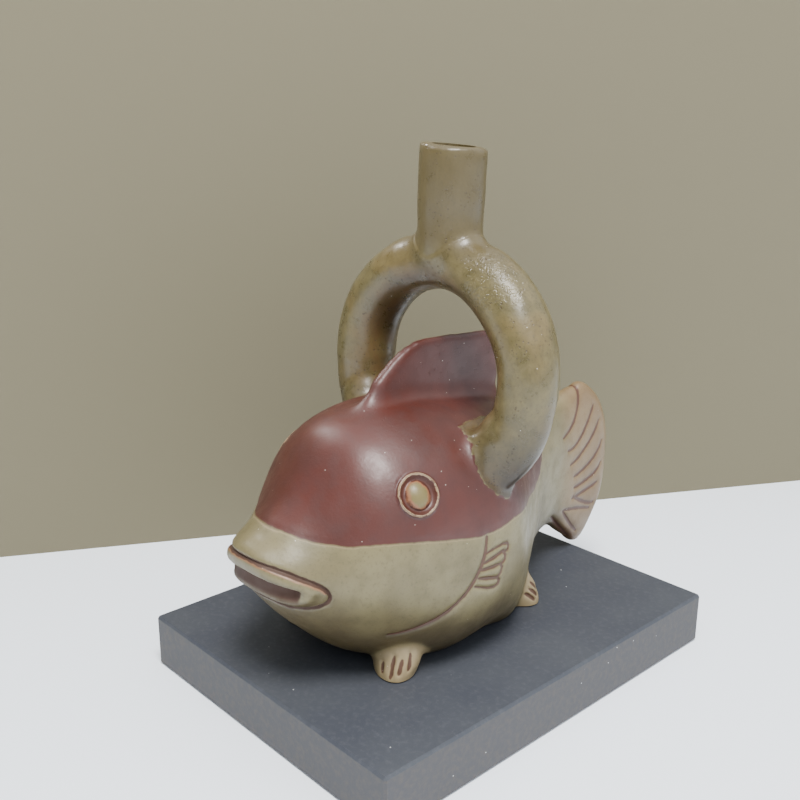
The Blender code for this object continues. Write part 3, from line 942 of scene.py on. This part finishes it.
def eye_relief(reach):
    """The raised ring and the hollow inside it, as a height over the flank."""
    ring = EYE_RING_RISE * np.exp(-(((reach - EYE_RADIUS) / EYE_RING_WIDTH) ** 2))
    hollow = EYE_HOLLOW * (1 - step(EYE_RADIUS - 0.0010, EYE_RADIUS - 0.0003, reach))
    return ring - hollow


def pupil_reach(places, reach):
    """How far each place is from the eye's middle, measured so that the tall pupil comes out round."""
    centre, _ = eye_frame()
    high = (mirrored(places) - centre)[:, 2]
    level = np.sqrt(np.maximum(reach**2 - high**2, 0))
    return np.where(reach < 0.01, np.hypot(level, high / PUPIL_HEIGHT), 0.05)


def pupil_relief(pupil):
    return PUPIL_RISE * np.clip(1 - (pupil / PUPIL_RADIUS) ** 2, 0, 1) ** 0.8


def brow_reach(places, reach):
    """How far each place is from the nearer of two folds of clay above and before the eye's ring."""
    centre, _ = eye_frame()
    apart = mirrored(places) - centre
    lean = (0.75 * apart[:, 2] - 0.66 * apart[:, 1]) / np.maximum(reach, 0.0001)
    gap = np.minimum(np.abs(reach - BROW_RADIUS), np.abs(reach - BROW_RADIUS - BROW_SPACING) + 0.0001)
    return gap + 0.0010 * (1 - step(0.45, 0.90, lean))


def paw_reach(places):
    """How far each place is from the nearest paw's middle, in the paw's own radii."""
    best = np.full(len(places), 9.0)
    for setback, half_spacing, heading, length, width, height in FEET:
        turn = np.array(Matrix.Rotation(heading, 3, "Z"))
        apart = (mirrored(places) - (half_spacing, SNOUT + setback, STAND)) @ turn
        best = np.minimum(best, np.linalg.norm(apart / (width / 2, length / 2, height), axis=1))
    return best


def unevenness(places):
    """A hand's gentle swells and dents."""
    found = np.empty(len(places))
    for k, place in enumerate(places):
        at = Vector(place) / UNEVENNESS_SIZE
        found[k] = noise.noise(at) + 0.4 * noise.noise(at * 2.7 + Vector((5, 3, 1)))
    return UNEVENNESS * found


def shape_surface(clay):
    """Press in the strokes and eyes, raise the edges of the slips, and leave the marks of a hand.

    Every point keeps what the material paints by: its distances from lines and edges in mm, a painted shade
    where it faces down, and painted light on the paws.
    """
    places = points_of(clay)
    outward = normals_of(clay)
    strokes, depth = line_reach(places)
    lips, gape = mouth_reach(places)
    eyes = eye_reach(places)
    red = region_edge(places, RED_SLIP)
    legs = leg_slip(places)
    pupil = pupil_reach(places, eyes)
    brow = brow_reach(places, eyes)
    lift = mouth_relief(lips, gape, np.abs(places[:, 0])) - depth
    lift += eye_relief(eyes) + pupil_relief(pupil)
    lift += BROW_RISE * np.exp(-((brow / BROW_WIDTH) ** 2))
    lift += LEG_SLIP_RISE * step(*LEG_SLIP_RISES, legs) * (1 - step(*LEG_SLIP_SETTLES, legs))
    lift -= RED_EDGE_DEPTH * np.exp(-((red / RED_EDGE_WIDTH) ** 2)) * (legs < -0.0004)
    lift += unevenness(places)
    lift *= step(0.0002, 0.0016, places[:, 2] - STAND)
    move_points(clay, places + lift[:, None] * outward)
    paws = paw_reach(places)
    # painted shade: darker where the skin faces down, but not on the paws; painted light: the paws paler
    shade_below = step(-0.10, 0.75, -outward[:, 2]) * step(1.05, 1.30, paws) / MILLIMETRES
    paw_light = (1 - step(1.02, 1.25, paws)) / MILLIMETRES
    kept = (pupil, brow, shade_below, paw_light, strokes, lips, gape, eyes, red, legs)
    for name, values in zip(PAINTED, kept):
        attribute = clay.data.attributes.new(name, "FLOAT", "POINT")
        attribute.data.foreach_set("value", MILLIMETRES * np.clip(values, -FAR, FAR))


def leg_slip(places):
    """How far inside the stirrup's own slip each place is, in metres."""
    inner = LEG_SLIP_INNER + LEG_SLIP_SLANT * (LEG_SLIP_SLANT_FROM - places[:, 1] + SNOUT)
    edge = np.minimum(region_edge(places, LEG_SLIP), np.abs(places[:, 0]) - inner)
    tube_edge = np.minimum(LEG_SLIP_MARGIN - stirrup_reach(places), places[:, 2] - STAND - LEG_SLIP_OVER_TUBE)
    return np.maximum(edge, tube_edge)


def cut_away(clay, tool):
    apply_modifier(clay, "BOOLEAN", operation="DIFFERENCE", solver="EXACT", object=tool)
    bpy.data.objects.remove(tool)


def stand_block():
    bpy.ops.mesh.primitive_cube_add(size=1.0)
    obj = bpy.context.object
    obj.data.transform(Matrix.Diagonal((0.2, 0.3, 0.02, 1)))
    obj.data.transform(Matrix.Translation((0, 0, STAND - 0.01)))
    return obj


def hollow_form():
    """The hollow of the body, one wall in, with the stirrup's bore and the spout's run into it."""
    hollow = ball("hollow", 48, 48)
    length = CAVITY_SHARE * FISH_LENGTH
    for vertex in hollow.data.vertices:
        x, y, z = vertex.co
        closing = (1 - min(1.0, y * y)) ** 0.25
        along = SNOUT + BODY_WALL + length * (1 + y) / 2
        vertex.co = on_section(along, math.atan2(z, x), BODY_WALL, closing)
        vertex.co.z = max(vertex.co.z, STAND + BODY_WALL)
    points = []
    for k in range(-36, 37):
        point = stirrup_point(math.pi * k / 36)
        depth = max(0.0, STAND + BORE_DRIFT_HEIGHT - point.z) / (BORE_DRIFT_HEIGHT - STIRRUP_FOOT_HEIGHT)
        point.x -= math.copysign(BORE_DRIFT * depth**1.5, point.x)
        points.append(point)
    bore = tube("bore", points, [STIRRUP_BORE_RADIUS] * len(points), resolution=5)
    bpy.ops.mesh.primitive_cylinder_add(vertices=48, radius=SPOUT_BORE_RADIUS, depth=0.026)
    mouth = bpy.context.object
    mouth.data.transform(Matrix.Translation((0, SPOUT_Y, CROWN + 0.013)))
    lean_spout(mouth)
    bpy.ops.object.select_all(action="DESELECT")
    for obj in (bore, mouth, hollow):
        obj.select_set(True)
    bpy.context.view_layer.objects.active = hollow
    bpy.ops.object.join()
    apply_modifier(hollow, "REMESH", mode="VOXEL", voxel_size=HOLLOW_GRID, adaptivity=0.0)
    apply_modifier(hollow, "SMOOTH", factor=0.5, iterations=3)
    return hollow


def make_bottle():
    forms = [body_form(), lip_form(1), lip_form(-1), fin_form(), stirrup_form(), spout_form()]
    for side in (1, -1):
        forms.append(leg_root_form(side))
        for pair in range(len(FEET)):
            forms.append(foot_form(side, pair))
    clay = run_together(forms)
    clay.name = "fish_bottle"
    clay.data.name = "fish_bottle"
    smooth_fillets(clay)
    for reach_in, eye_in in FINER_WITHIN:
        places = points_of(clay)
        reach, _ = line_reach(places)
        lips, gape = mouth_reach(places)
        near = (reach < reach_in) | (eye_reach(places) < eye_in)
        near |= (np.abs(lips) < 1.5 * reach_in) | (np.abs(gape) < 2 * reach_in)
        near |= np.abs(leg_slip(places)) < FINER_BY_LEG_SLIP
        refine(clay, near)
    cut_away(clay, stand_block())
    cut_away(clay, hollow_form())
    shape_surface(clay)
    only(clay)
    bpy.ops.object.shade_smooth_by_angle(angle=math.radians(50))
    return clay


# Materials

# The kinds of node used most, each with its settings.
NODES = {
    "fade": ("ShaderNodeMapRange", {"interpolation_type": "SMOOTHSTEP"}),
    "times": ("ShaderNodeMath", {"operation": "MULTIPLY"}),
    "plus": ("ShaderNodeMath", {"operation": "ADD"}),
    "times and plus": ("ShaderNodeMath", {"operation": "MULTIPLY_ADD"}),
    "layer": ("ShaderNodeMix", {"data_type": "RGBA"}),
    "noise": ("ShaderNodeTexNoise", {}),
    "cells": ("ShaderNodeTexVoronoi", {}),
}


def linear(code):
    """An sRGB hex colour as linear red, green, blue and alpha."""
    channels = [int(code[k:k + 2], 16) / 255 for k in (0, 2, 4)]
    return (*[c / 12.92 if c <= 0.04045 else ((c + 0.055) / 1.055) ** 2.4 for c in channels], 1.0)


def add(tree, kind, inputs=(), **choices):
    """Add a node, of a kind named above or by its own name, with its settings and links.

    Inputs come in the order that the node shows them, or by name. Each is a value, a socket, or another node,
    whose first output in use is linked.
    """
    own_name, settings = NODES.get(kind, (kind, {}))
    node = tree.nodes.new(own_name)
    for name, value in {**settings, **choices}.items():
        setattr(node, name, value)
    if isinstance(inputs, dict):
        rows = [(node.inputs[name], value) for name, value in inputs.items()]
    else:
        rows = zip([socket for socket in node.inputs if socket.enabled], inputs)
    for socket, value in rows:
        if isinstance(value, bpy.types.Node):
            value = next(output for output in value.outputs if output.enabled)
        if isinstance(value, bpy.types.NodeSocket):
            tree.links.new(value, socket)
        else:
            socket.default_value = value
    return node


def new_material(name):
    material = bpy.data.materials.new(name)
    material.use_nodes = True
    material.node_tree.nodes.clear()
    return material, material.node_tree


def band(tree, value, rise, fall, strength=1.0):
    """A mask that comes in over one span of a value and goes out over a later one."""
    coming = add(tree, "fade", (value, *rise))
    going = add(tree, "fade", (value, *fall, strength, 0))
    return add(tree, "times", (coming, going))


def wandering(tree, value, grain, reach):
    """A value moved up and down by a grain, so that an edge drawn by it wanders as a brush's does."""
    wander = add(tree, "fade", (grain, 0.3, 0.7, -reach, reach))
    return add(tree, "plus", (value, wander))


def motes(tree, place, spacing, rarity, size, strength):
    """A mask of scattered dots: their spacing in metres, and their size as a share of it."""
    cells = add(tree, "cells", {"Vector": place, "Scale": 1 / spacing})
    chosen = add(tree, "fade", (cells.outputs["Color"], rarity, rarity + 0.02))
    dot = add(tree, "fade", (cells.outputs["Distance"], *size, 1, 0))
    return add(tree, "times", (add(tree, "times", (chosen, dot)), strength))


def cream_slip(tree, place, grains, painted, tube, inner):
    """The cream slip: greyer on the body, olive and speckled on the stirrup, brown on the spout."""
    broad, mottle, fine = grains
    parts = add(tree, "ShaderNodeSeparateXYZ", (place,))
    height = parts.outputs["Z"]
    pale = add(tree, "fade", (broad, 0.35, 0.68))
    cream = add(tree, "layer", (pale, linear(CREAM_LIGHT), linear(CREAM)))
    olive = add(tree, "layer", (add(tree, "fade", (mottle, 0.3, 0.7)), linear(OLIVE_DARK), linear(OLIVE)))
    brown = add(tree, "layer", (mottle, linear(SPOUT_DARK), linear(SPOUT_LIGHT)))
    ochre = add(tree, "fade", (broad, 0.50, 0.66, 0, 0.4))
    # painted shade, with a painted reflection of the red body, in brown on the stirrup's inner side
    inner_shade = add(tree, "fade", (mottle, 0.35, 0.65, 0.25, 0.85))
    pepper = add(tree, "fade", (fine, 0.50, 0.66, 0, 0.5))
    for mask, paint in (
        (add(tree, "fade", (mottle, 0.45, 0.75, 0, 0.5)), linear(CREAM_DULL)),
        (add(tree, "fade", (fine, 0.52, 0.72, 0, 0.40)), linear(CREAM_SPECK)),
        (tube, olive),
        (add(tree, "times", (ochre, tube)), linear(OCHRE)),
        (add(tree, "fade", (height, CROWN - 0.002, CROWN + 0.006)), brown),
        (add(tree, "times", (inner, inner_shade)), linear(SHADE_AND_RED_REFLECTION)),
        (add(tree, "times", (pepper, tube)), linear(CREAM_SPECK)),
        (add(tree, "times", (tube_specks(tree, place, tube, inner), 0.75)), linear(SPECK)),
    ):
        cream = add(tree, "layer", (mask, cream, paint))

    # painted shade darkens what faces down and the lower ends of the legs
    shade_below = wandering(tree, painted["shade_below"], broad, 0.15)
    foot = add(tree, "fade", (height, STAND + 0.036, STAND + 0.056, 0.85, 0))
    on_leg = add(tree, "fade", (painted["leg_slip"], -0.3, 0.3))
    for mask in (add(tree, "fade", (shade_below, 0.0, 1.0, 0, 0.72)), add(tree, "times", (on_leg, foot))):
        cream = add(tree, "layer", (mask, cream, linear(SHADE_TINT)), blend_type="MULTIPLY")
    tail = add(tree, "fade", (parts.outputs["Y"], SNOUT + 0.088, SNOUT + 0.098, 0, 0.30))
    cream = add(tree, "layer", (tail, cream, linear(FRINGE)))
    # painted light: the paws are painted paler
    return add(tree, "layer", (add(tree, "times", (painted["paw_light"], 0.8)), cream, linear(LIT_PAW)))


def tube_specks(tree, place, tube, inner):
    """Dark specks of grit in the stirrup's slip, thickest on its inner side."""
    cells = add(tree, "cells", {"Vector": place, "Scale": 1 / SPECK_SPACING})
    speck = add(tree, "fade", (cells, 0.16, 0.24, 1, 0))
    clusters = add(tree, "noise", {"Vector": place, "Scale": 1 / SPECK_CLUSTER, "Detail": 2})
    clusters = add(tree, "fade", (clusters, 0.46, 0.58))
    where = add(tree, "times and plus", (inner, 0.7, clusters))
    return add(tree, "times", (add(tree, "times", (speck, where)), tube))


def paint_eye(tree, colour, grains, painted):
    """Worn pale edges along the ring and the brow, a washed hollow and a cream pupil."""
    mottle, fine, ragged = grains
    eye = wandering(tree, painted["eye"], ragged, 0.10)
    hollow = add(tree, "times", (band(tree, eye, *HOLLOW_BAND), 0.35))
    crease = band(tree, eye, *RING_CREASE)
    ring = band(tree, eye, *RING_BAND)
    ring = add(tree, "times", (ring, add(tree, "fade", (crease, 0, 1, 1, 0.45))))
    ring = add(tree, "times", (ring, add(tree, "fade", (fine, 0.30, 0.52, 0.15, 0.9))))
    brow = add(tree, "times and plus", (ragged, 0.1, painted["brow"]))
    pupil = wandering(tree, painted["pupil"], mottle, 0.45)
    blush = add(tree, "layer", (add(tree, "fade", (pupil, 1.4, 2.3)), linear(PUPIL), linear(FRINGE)))
    for mask, paint in (
        (hollow, linear(WASH)),
        (ring, linear(RING_AND_EDGE_HIGHLIGHT)),
        (add(tree, "fade", (brow, 0.10, 0.24, 0.5, 0)), linear(RING_AND_EDGE_HIGHLIGHT)),
        (add(tree, "fade", (pupil, 2.15, 2.60, 1, 0)), blush),
    ):
        colour = add(tree, "layer", (mask, colour, paint))
    return colour


def mouth_washes(tree, across, grains, painted):
    """The masks of the iron wash round the mouth: tan under the groove, dark in it, and brown in the slit."""
    mottle, ragged = grains
    lips = wandering(tree, painted["lips"], ragged, 0.08)
    above = add(tree, "fade", (painted["gape"], -0.5, 0.5, 1, 0))
    fringe = add(tree, "times", (band(tree, lips, *FRINGE_BAND, 0.6), above))
    rise, fall = GROOVE_BAND
    wider = add(tree, "times and plus", (above, -GROOVE_WIDER_ABOVE, lips))
    groove = add(tree, "fade", (lips, *rise))
    groove = add(tree, "times", (groove, add(tree, "fade", (wider, *fall, 0.92, 0))))
    gape = wandering(tree, painted["gape"], mottle, 0.08)
    room = add(tree, "plus", (painted["lips"], gape))
    share = add(tree, "ShaderNodeMath", (gape, room), operation="DIVIDE")
    beside = add(tree, "ShaderNodeMath", (across,), operation="ABSOLUTE")
    share = add(tree, "plus", (share, add(tree, "fade", (beside, SLIT_NARROWS, SLIT_REACH, 0, 0.75))))
    slit = add(tree, "fade", (gape, -0.10, 0.10))
    slit = add(tree, "times", (slit, add(tree, "fade", (share, 0.42, 0.74, 0.95, 0))))
    return fringe, groove, slit


def slipped_clay():
    """Burnished slips over fired clay: satin cream and satin red-brown, with a thin iron wash in the lines.

    The eye sees soft broad highlights, a faint mottle, dark specks in the cream and pale dust on the red.
    """
    material, tree = new_material("slipped_clay")
    place = add(tree, "ShaderNodeTexCoord").outputs["Object"]
    parts = add(tree, "ShaderNodeSeparateXYZ", (place,))
    across = parts.outputs["X"]
    height = parts.outputs["Z"]
    painted = {
        name: add(tree, "ShaderNodeAttribute", attribute_name=name).outputs["Fac"]
        for name in PAINTED
    }
    broad, mottle, fine, ragged = (
        add(tree, "noise", {"Vector": place, "Scale": 1 / size, "Detail": detail, "Roughness": roughness})
        for size, detail, roughness in (BROAD_GRAIN, MOTTLE_GRAIN, FINE_GRAIN, RAGGED_GRAIN)
    )

    # where the stirrup's tube is, and its inner side
    high = add(tree, "fade", (height, STAND + 0.044, STAND + 0.058))
    on_leg = add(tree, "fade", (painted["leg_slip"], -0.3, 0.3))
    tube = add(tree, "ShaderNodeMath", (high, on_leg), operation="MAXIMUM")
    level = add(tree, "ShaderNodeMath", (height, STAND + STIRRUP_SHOULDER_HEIGHT), operation="SUBTRACT")
    flat = add(tree, "ShaderNodeCombineXYZ", {"X": across, "Z": level})
    ring_reach = add(tree, "ShaderNodeVectorMath", (flat,), operation="LENGTH")
    inner = add(tree, "times", (add(tree, "fade", (ring_reach, 0.0180, 0.0235, 1, 0)), tube))
    cream = cream_slip(tree, place, (broad, mottle, fine), painted, tube, inner)

    # the red slip, and where the stirrup's slip runs over it with a ragged edge
    red = add(tree, "layer", (add(tree, "fade", (broad, 0.3, 0.7)), linear(RED), linear(RED_DEEP)))
    red = add(tree, "layer", (add(tree, "fade", (mottle, 0.4, 0.8, 0, 0.5)), red, linear(RED_PURPLE)))
    legs = wandering(tree, painted["leg_slip"], ragged, 0.25)
    wave = wandering(tree, painted["red_slip"], ragged, 0.06)
    off_legs = add(tree, "fade", (legs, -0.04, 0.04, 1, 0))
    reddened = add(tree, "times", (add(tree, "fade", (wave, -0.06, 0.06)), off_legs))
    colour = add(tree, "layer", (reddened, cream, red))
    # a dark seam along the red slip's edge, and beside it a painted highlight on the cream
    for span, strength, paint in ((SEAM_BAND, 0.55, WASH), (EDGE_HIGHLIGHT_BAND, 0.35, RING_AND_EDGE_HIGHLIGHT)):
        away = add(tree, "fade", (painted["leg_slip"], -1.0, -0.4, strength, 0))
        mask = add(tree, "times", (band(tree, wave, *span), away))
        colour = add(tree, "layer", (mask, colour, linear(paint)))

    # the eye, the iron wash in the lines, and dust
    colour = paint_eye(tree, colour, (mottle, fine, ragged), painted)
    stroke = wandering(tree, painted["stroke"], ragged, 0.07)
    fringe, groove, slit = mouth_washes(tree, across, (mottle, ragged), painted)
    for mask, paint in (
        (add(tree, "fade", (stroke, -0.12, 0.10, 0.9, 0)), WASH),
        (fringe, FRINGE),
        (groove, WASH_DARK),
        (slit, WASH_DARK),
        (motes(tree, place, CLAY_DUST_SPACING, 0.55, (0.035, 0.055), 0.6), DUST),
    ):
        colour = add(tree, "layer", (mask, colour, linear(paint)))

    # the tube is glossier than the body, and the washes are matt
    gloss = add(tree, "fade", (mottle, 0.3, 0.7, 0.38, 0.50))
    bare_tube = add(tree, "times", (tube, add(tree, "fade", (reddened, 0, 1, 1, 0))))
    for mask, rougher in ((bare_tube, -0.12), (slit, 0.30), (groove, 0.25)):
        gloss = add(tree, "times and plus", (mask, rougher, gloss))

    # a fine grain, pits at the specks, and the crinkled slip on the stirrup's shoulder
    from_shoulder = add(tree, "ShaderNodeVectorMath", (place, CRINKLE_PLACE), operation="DISTANCE")
    crinkled = add(tree, "fade", (from_shoulder, *CRINKLE_REACH, 1, 0))
    folds = add(tree, "noise", {"Vector": place, "Scale": 1 / CRINKLE_SIZE, "Detail": 1.0, "Distortion": 1.5})
    folds = add(tree, "times", (add(tree, "fade", (folds, 0.42, 0.58)), crinkled))
    relief = add(tree, "times", (mottle, 0.5))
    for rise, share in ((fine, 0.4), (folds, 0.9), (tube_specks(tree, place, tube, inner), -0.5)):
        relief = add(tree, "times and plus", (rise, share, relief))
    bump = add(tree, "ShaderNodeBump", {"Height": relief, "Distance": 0.00012, "Strength": 0.6})
    surface = {"Base Color": colour, "Roughness": gloss, "IOR": 1.5, "Normal": bump}
    add(tree, "ShaderNodeOutputMaterial", {"Surface": add(tree, "ShaderNodeBsdfPrincipled", surface)})
    return material


def dark_board():
    """A dark, dyed fibre board: matt blue-grey with a faint mottle, browner sawn sides and specks of dust."""
    material, tree = new_material("dark_fibre_board")
    place = add(tree, "ShaderNodeTexCoord").outputs["Object"]
    parts = add(tree, "ShaderNodeSeparateXYZ", (place,))
    broad = add(tree, "noise", {"Vector": place, "Scale": 1 / BOARD_MOTTLE, "Detail": 3})
    fibre = add(tree, "noise", {"Vector": place, "Scale": 1 / BOARD_FIBRE, "Detail": 4, "Roughness": 0.65})
    top = add(tree, "layer", (add(tree, "fade", (broad, 0.3, 0.7)), linear(BOARD_DARK), linear(BOARD_GREY)))
    sawn = add(tree, "layer", (add(tree, "fade", (fibre, 0.4, 0.7)), linear(BOARD_SIDE), linear(BOARD_BROWN)))
    sides = (parts.outputs["Z"], PLINTH_THICKNESS - 0.0008, PLINTH_THICKNESS - 0.0004, 1, 0)
    colour = top
    for mask, paint in (
        (add(tree, "fade", (fibre, 0.45, 0.75, 0, 0.5)), linear(BOARD_PALE)),
        (add(tree, "fade", sides), sawn),
        (motes(tree, place, BOARD_DUST_SPACING, 0.62, (0.03, 0.05), 0.8), linear(BOARD_DUST)),
    ):
        colour = add(tree, "layer", (mask, colour, paint))
    bump = add(tree, "ShaderNodeBump", {"Height": fibre, "Distance": 0.0001, "Strength": 0.5})
    surface = {"Base Color": colour, "Roughness": 0.62, "Normal": bump}
    add(tree, "ShaderNodeOutputMaterial", {"Surface": add(tree, "ShaderNodeBsdfPrincipled", surface)})
    return material


# The stage

def make_floor():
    """A plain pale tabletop."""
    bpy.ops.mesh.primitive_plane_add(size=TABLETOP_SIZE)
    floor = bpy.context.object
    floor.name = "tabletop"
    material, tree = new_material("matt_white_laminate")
    surface = {"Base Color": linear(TABLETOP), "Roughness": 0.6}
    add(tree, "ShaderNodeOutputMaterial", {"Surface": add(tree, "ShaderNodeBsdfPrincipled", surface)})
    floor.data.materials.append(material)


def make_backdrop():
    """A plain grey-green board close behind the bottle, which is clear from its own back."""
    width, height = BACKDROP_SIZE
    bpy.ops.mesh.primitive_plane_add(size=1.0)
    board = bpy.context.object
    board.name = "backdrop"
    board.data.transform(Matrix.Diagonal((width, height, 1, 1)))
    board.data.transform(Matrix.Translation((0, height / 2, 0)))
    board.data.transform(Matrix.Rotation(math.radians(90), 4, "X"))
    board.data.transform(Matrix.Rotation(BACKDROP_TURN, 4, "Z"))
    board.data.transform(Matrix.Translation((*BACKDROP_PLACE, 0)))
    material, tree = new_material("plain_backdrop")
    behind = add(tree, "ShaderNodeNewGeometry").outputs["Backfacing"]
    front = add(tree, "ShaderNodeMath", (1.0, behind), operation="SUBTRACT")
    surface = {"Base Color": linear(BACKDROP), "Roughness": 0.9, "Alpha": front}
    add(tree, "ShaderNodeOutputMaterial", {"Surface": add(tree, "ShaderNodeBsdfPrincipled", surface)})
    board.data.materials.append(material)


def area_light(name, place, aim, size, power):
    data = bpy.data.lights.new(name, "AREA")
    data.shape = "DISK"
    data.size = size
    data.energy = power
    data.color = LAMP_COLOUR
    obj = bpy.data.objects.new(name, data)
    bpy.context.scene.collection.objects.link(obj)
    obj.location = place
    obj.rotation_euler = (Vector(aim) - Vector(place)).to_track_quat("-Z", "Y").to_euler()


def make_lights():
    """A soft ceiling over a dark room, a lamp panel above and a smaller lamp from the left."""
    world = bpy.data.worlds.new("soft_room")
    world.use_nodes = True
    tree = world.node_tree
    tree.nodes.clear()
    facing = add(tree, "ShaderNodeTexCoord").outputs["Generated"]
    rise = add(tree, "ShaderNodeVectorMath", (facing, CEILING_TOWARDS), operation="DOT_PRODUCT")
    strength = add(tree, "fade", (rise, 0.0, 0.95, *ROOM_STRENGTHS))
    room = add(tree, "ShaderNodeBackground", {"Color": ROOM_COLOUR, "Strength": strength})
    add(tree, "ShaderNodeOutputWorld", {"Surface": room})
    bpy.context.scene.world = world
    for lamp in LAMPS:
        area_light(*lamp)


def make_camera():
    """The photograph's view: from the fish's front left, a little above it."""
    level = Vector((math.cos(CAMERA_AZIMUTH), math.sin(CAMERA_AZIMUTH), 0))
    outward = Vector((math.sin(CAMERA_AZIMUTH), -math.cos(CAMERA_AZIMUTH), 0))
    back = outward * math.cos(CAMERA_ELEVATION) + Vector((0, 0, math.sin(CAMERA_ELEVATION)))
    above = back.cross(level)
    right = level * math.cos(CAMERA_ROLL) + above * math.sin(CAMERA_ROLL)
    up = above * math.cos(CAMERA_ROLL) - level * math.sin(CAMERA_ROLL)
    data = bpy.data.cameras.new("camera")
    data.lens = CAMERA_LENS
    data.sensor_width = 36.0
    data.clip_start = 0.01
    obj = bpy.data.objects.new("camera", data)
    bpy.context.scene.collection.objects.link(obj)
    matrix = Matrix((right, up, back)).transposed().to_4x4()
    matrix.translation = CAMERA_PLACE
    obj.matrix_world = matrix
    bpy.context.scene.camera = obj


bottle = make_bottle()
bottle.data.materials.clear()
bottle.data.materials.append(slipped_clay())
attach(bottle, "root")
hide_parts("fish_vase")

board = dark_board()
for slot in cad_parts["plinth"].material_slots:
    slot.material = board

make_floor()
make_backdrop()
make_lights()
make_camera()
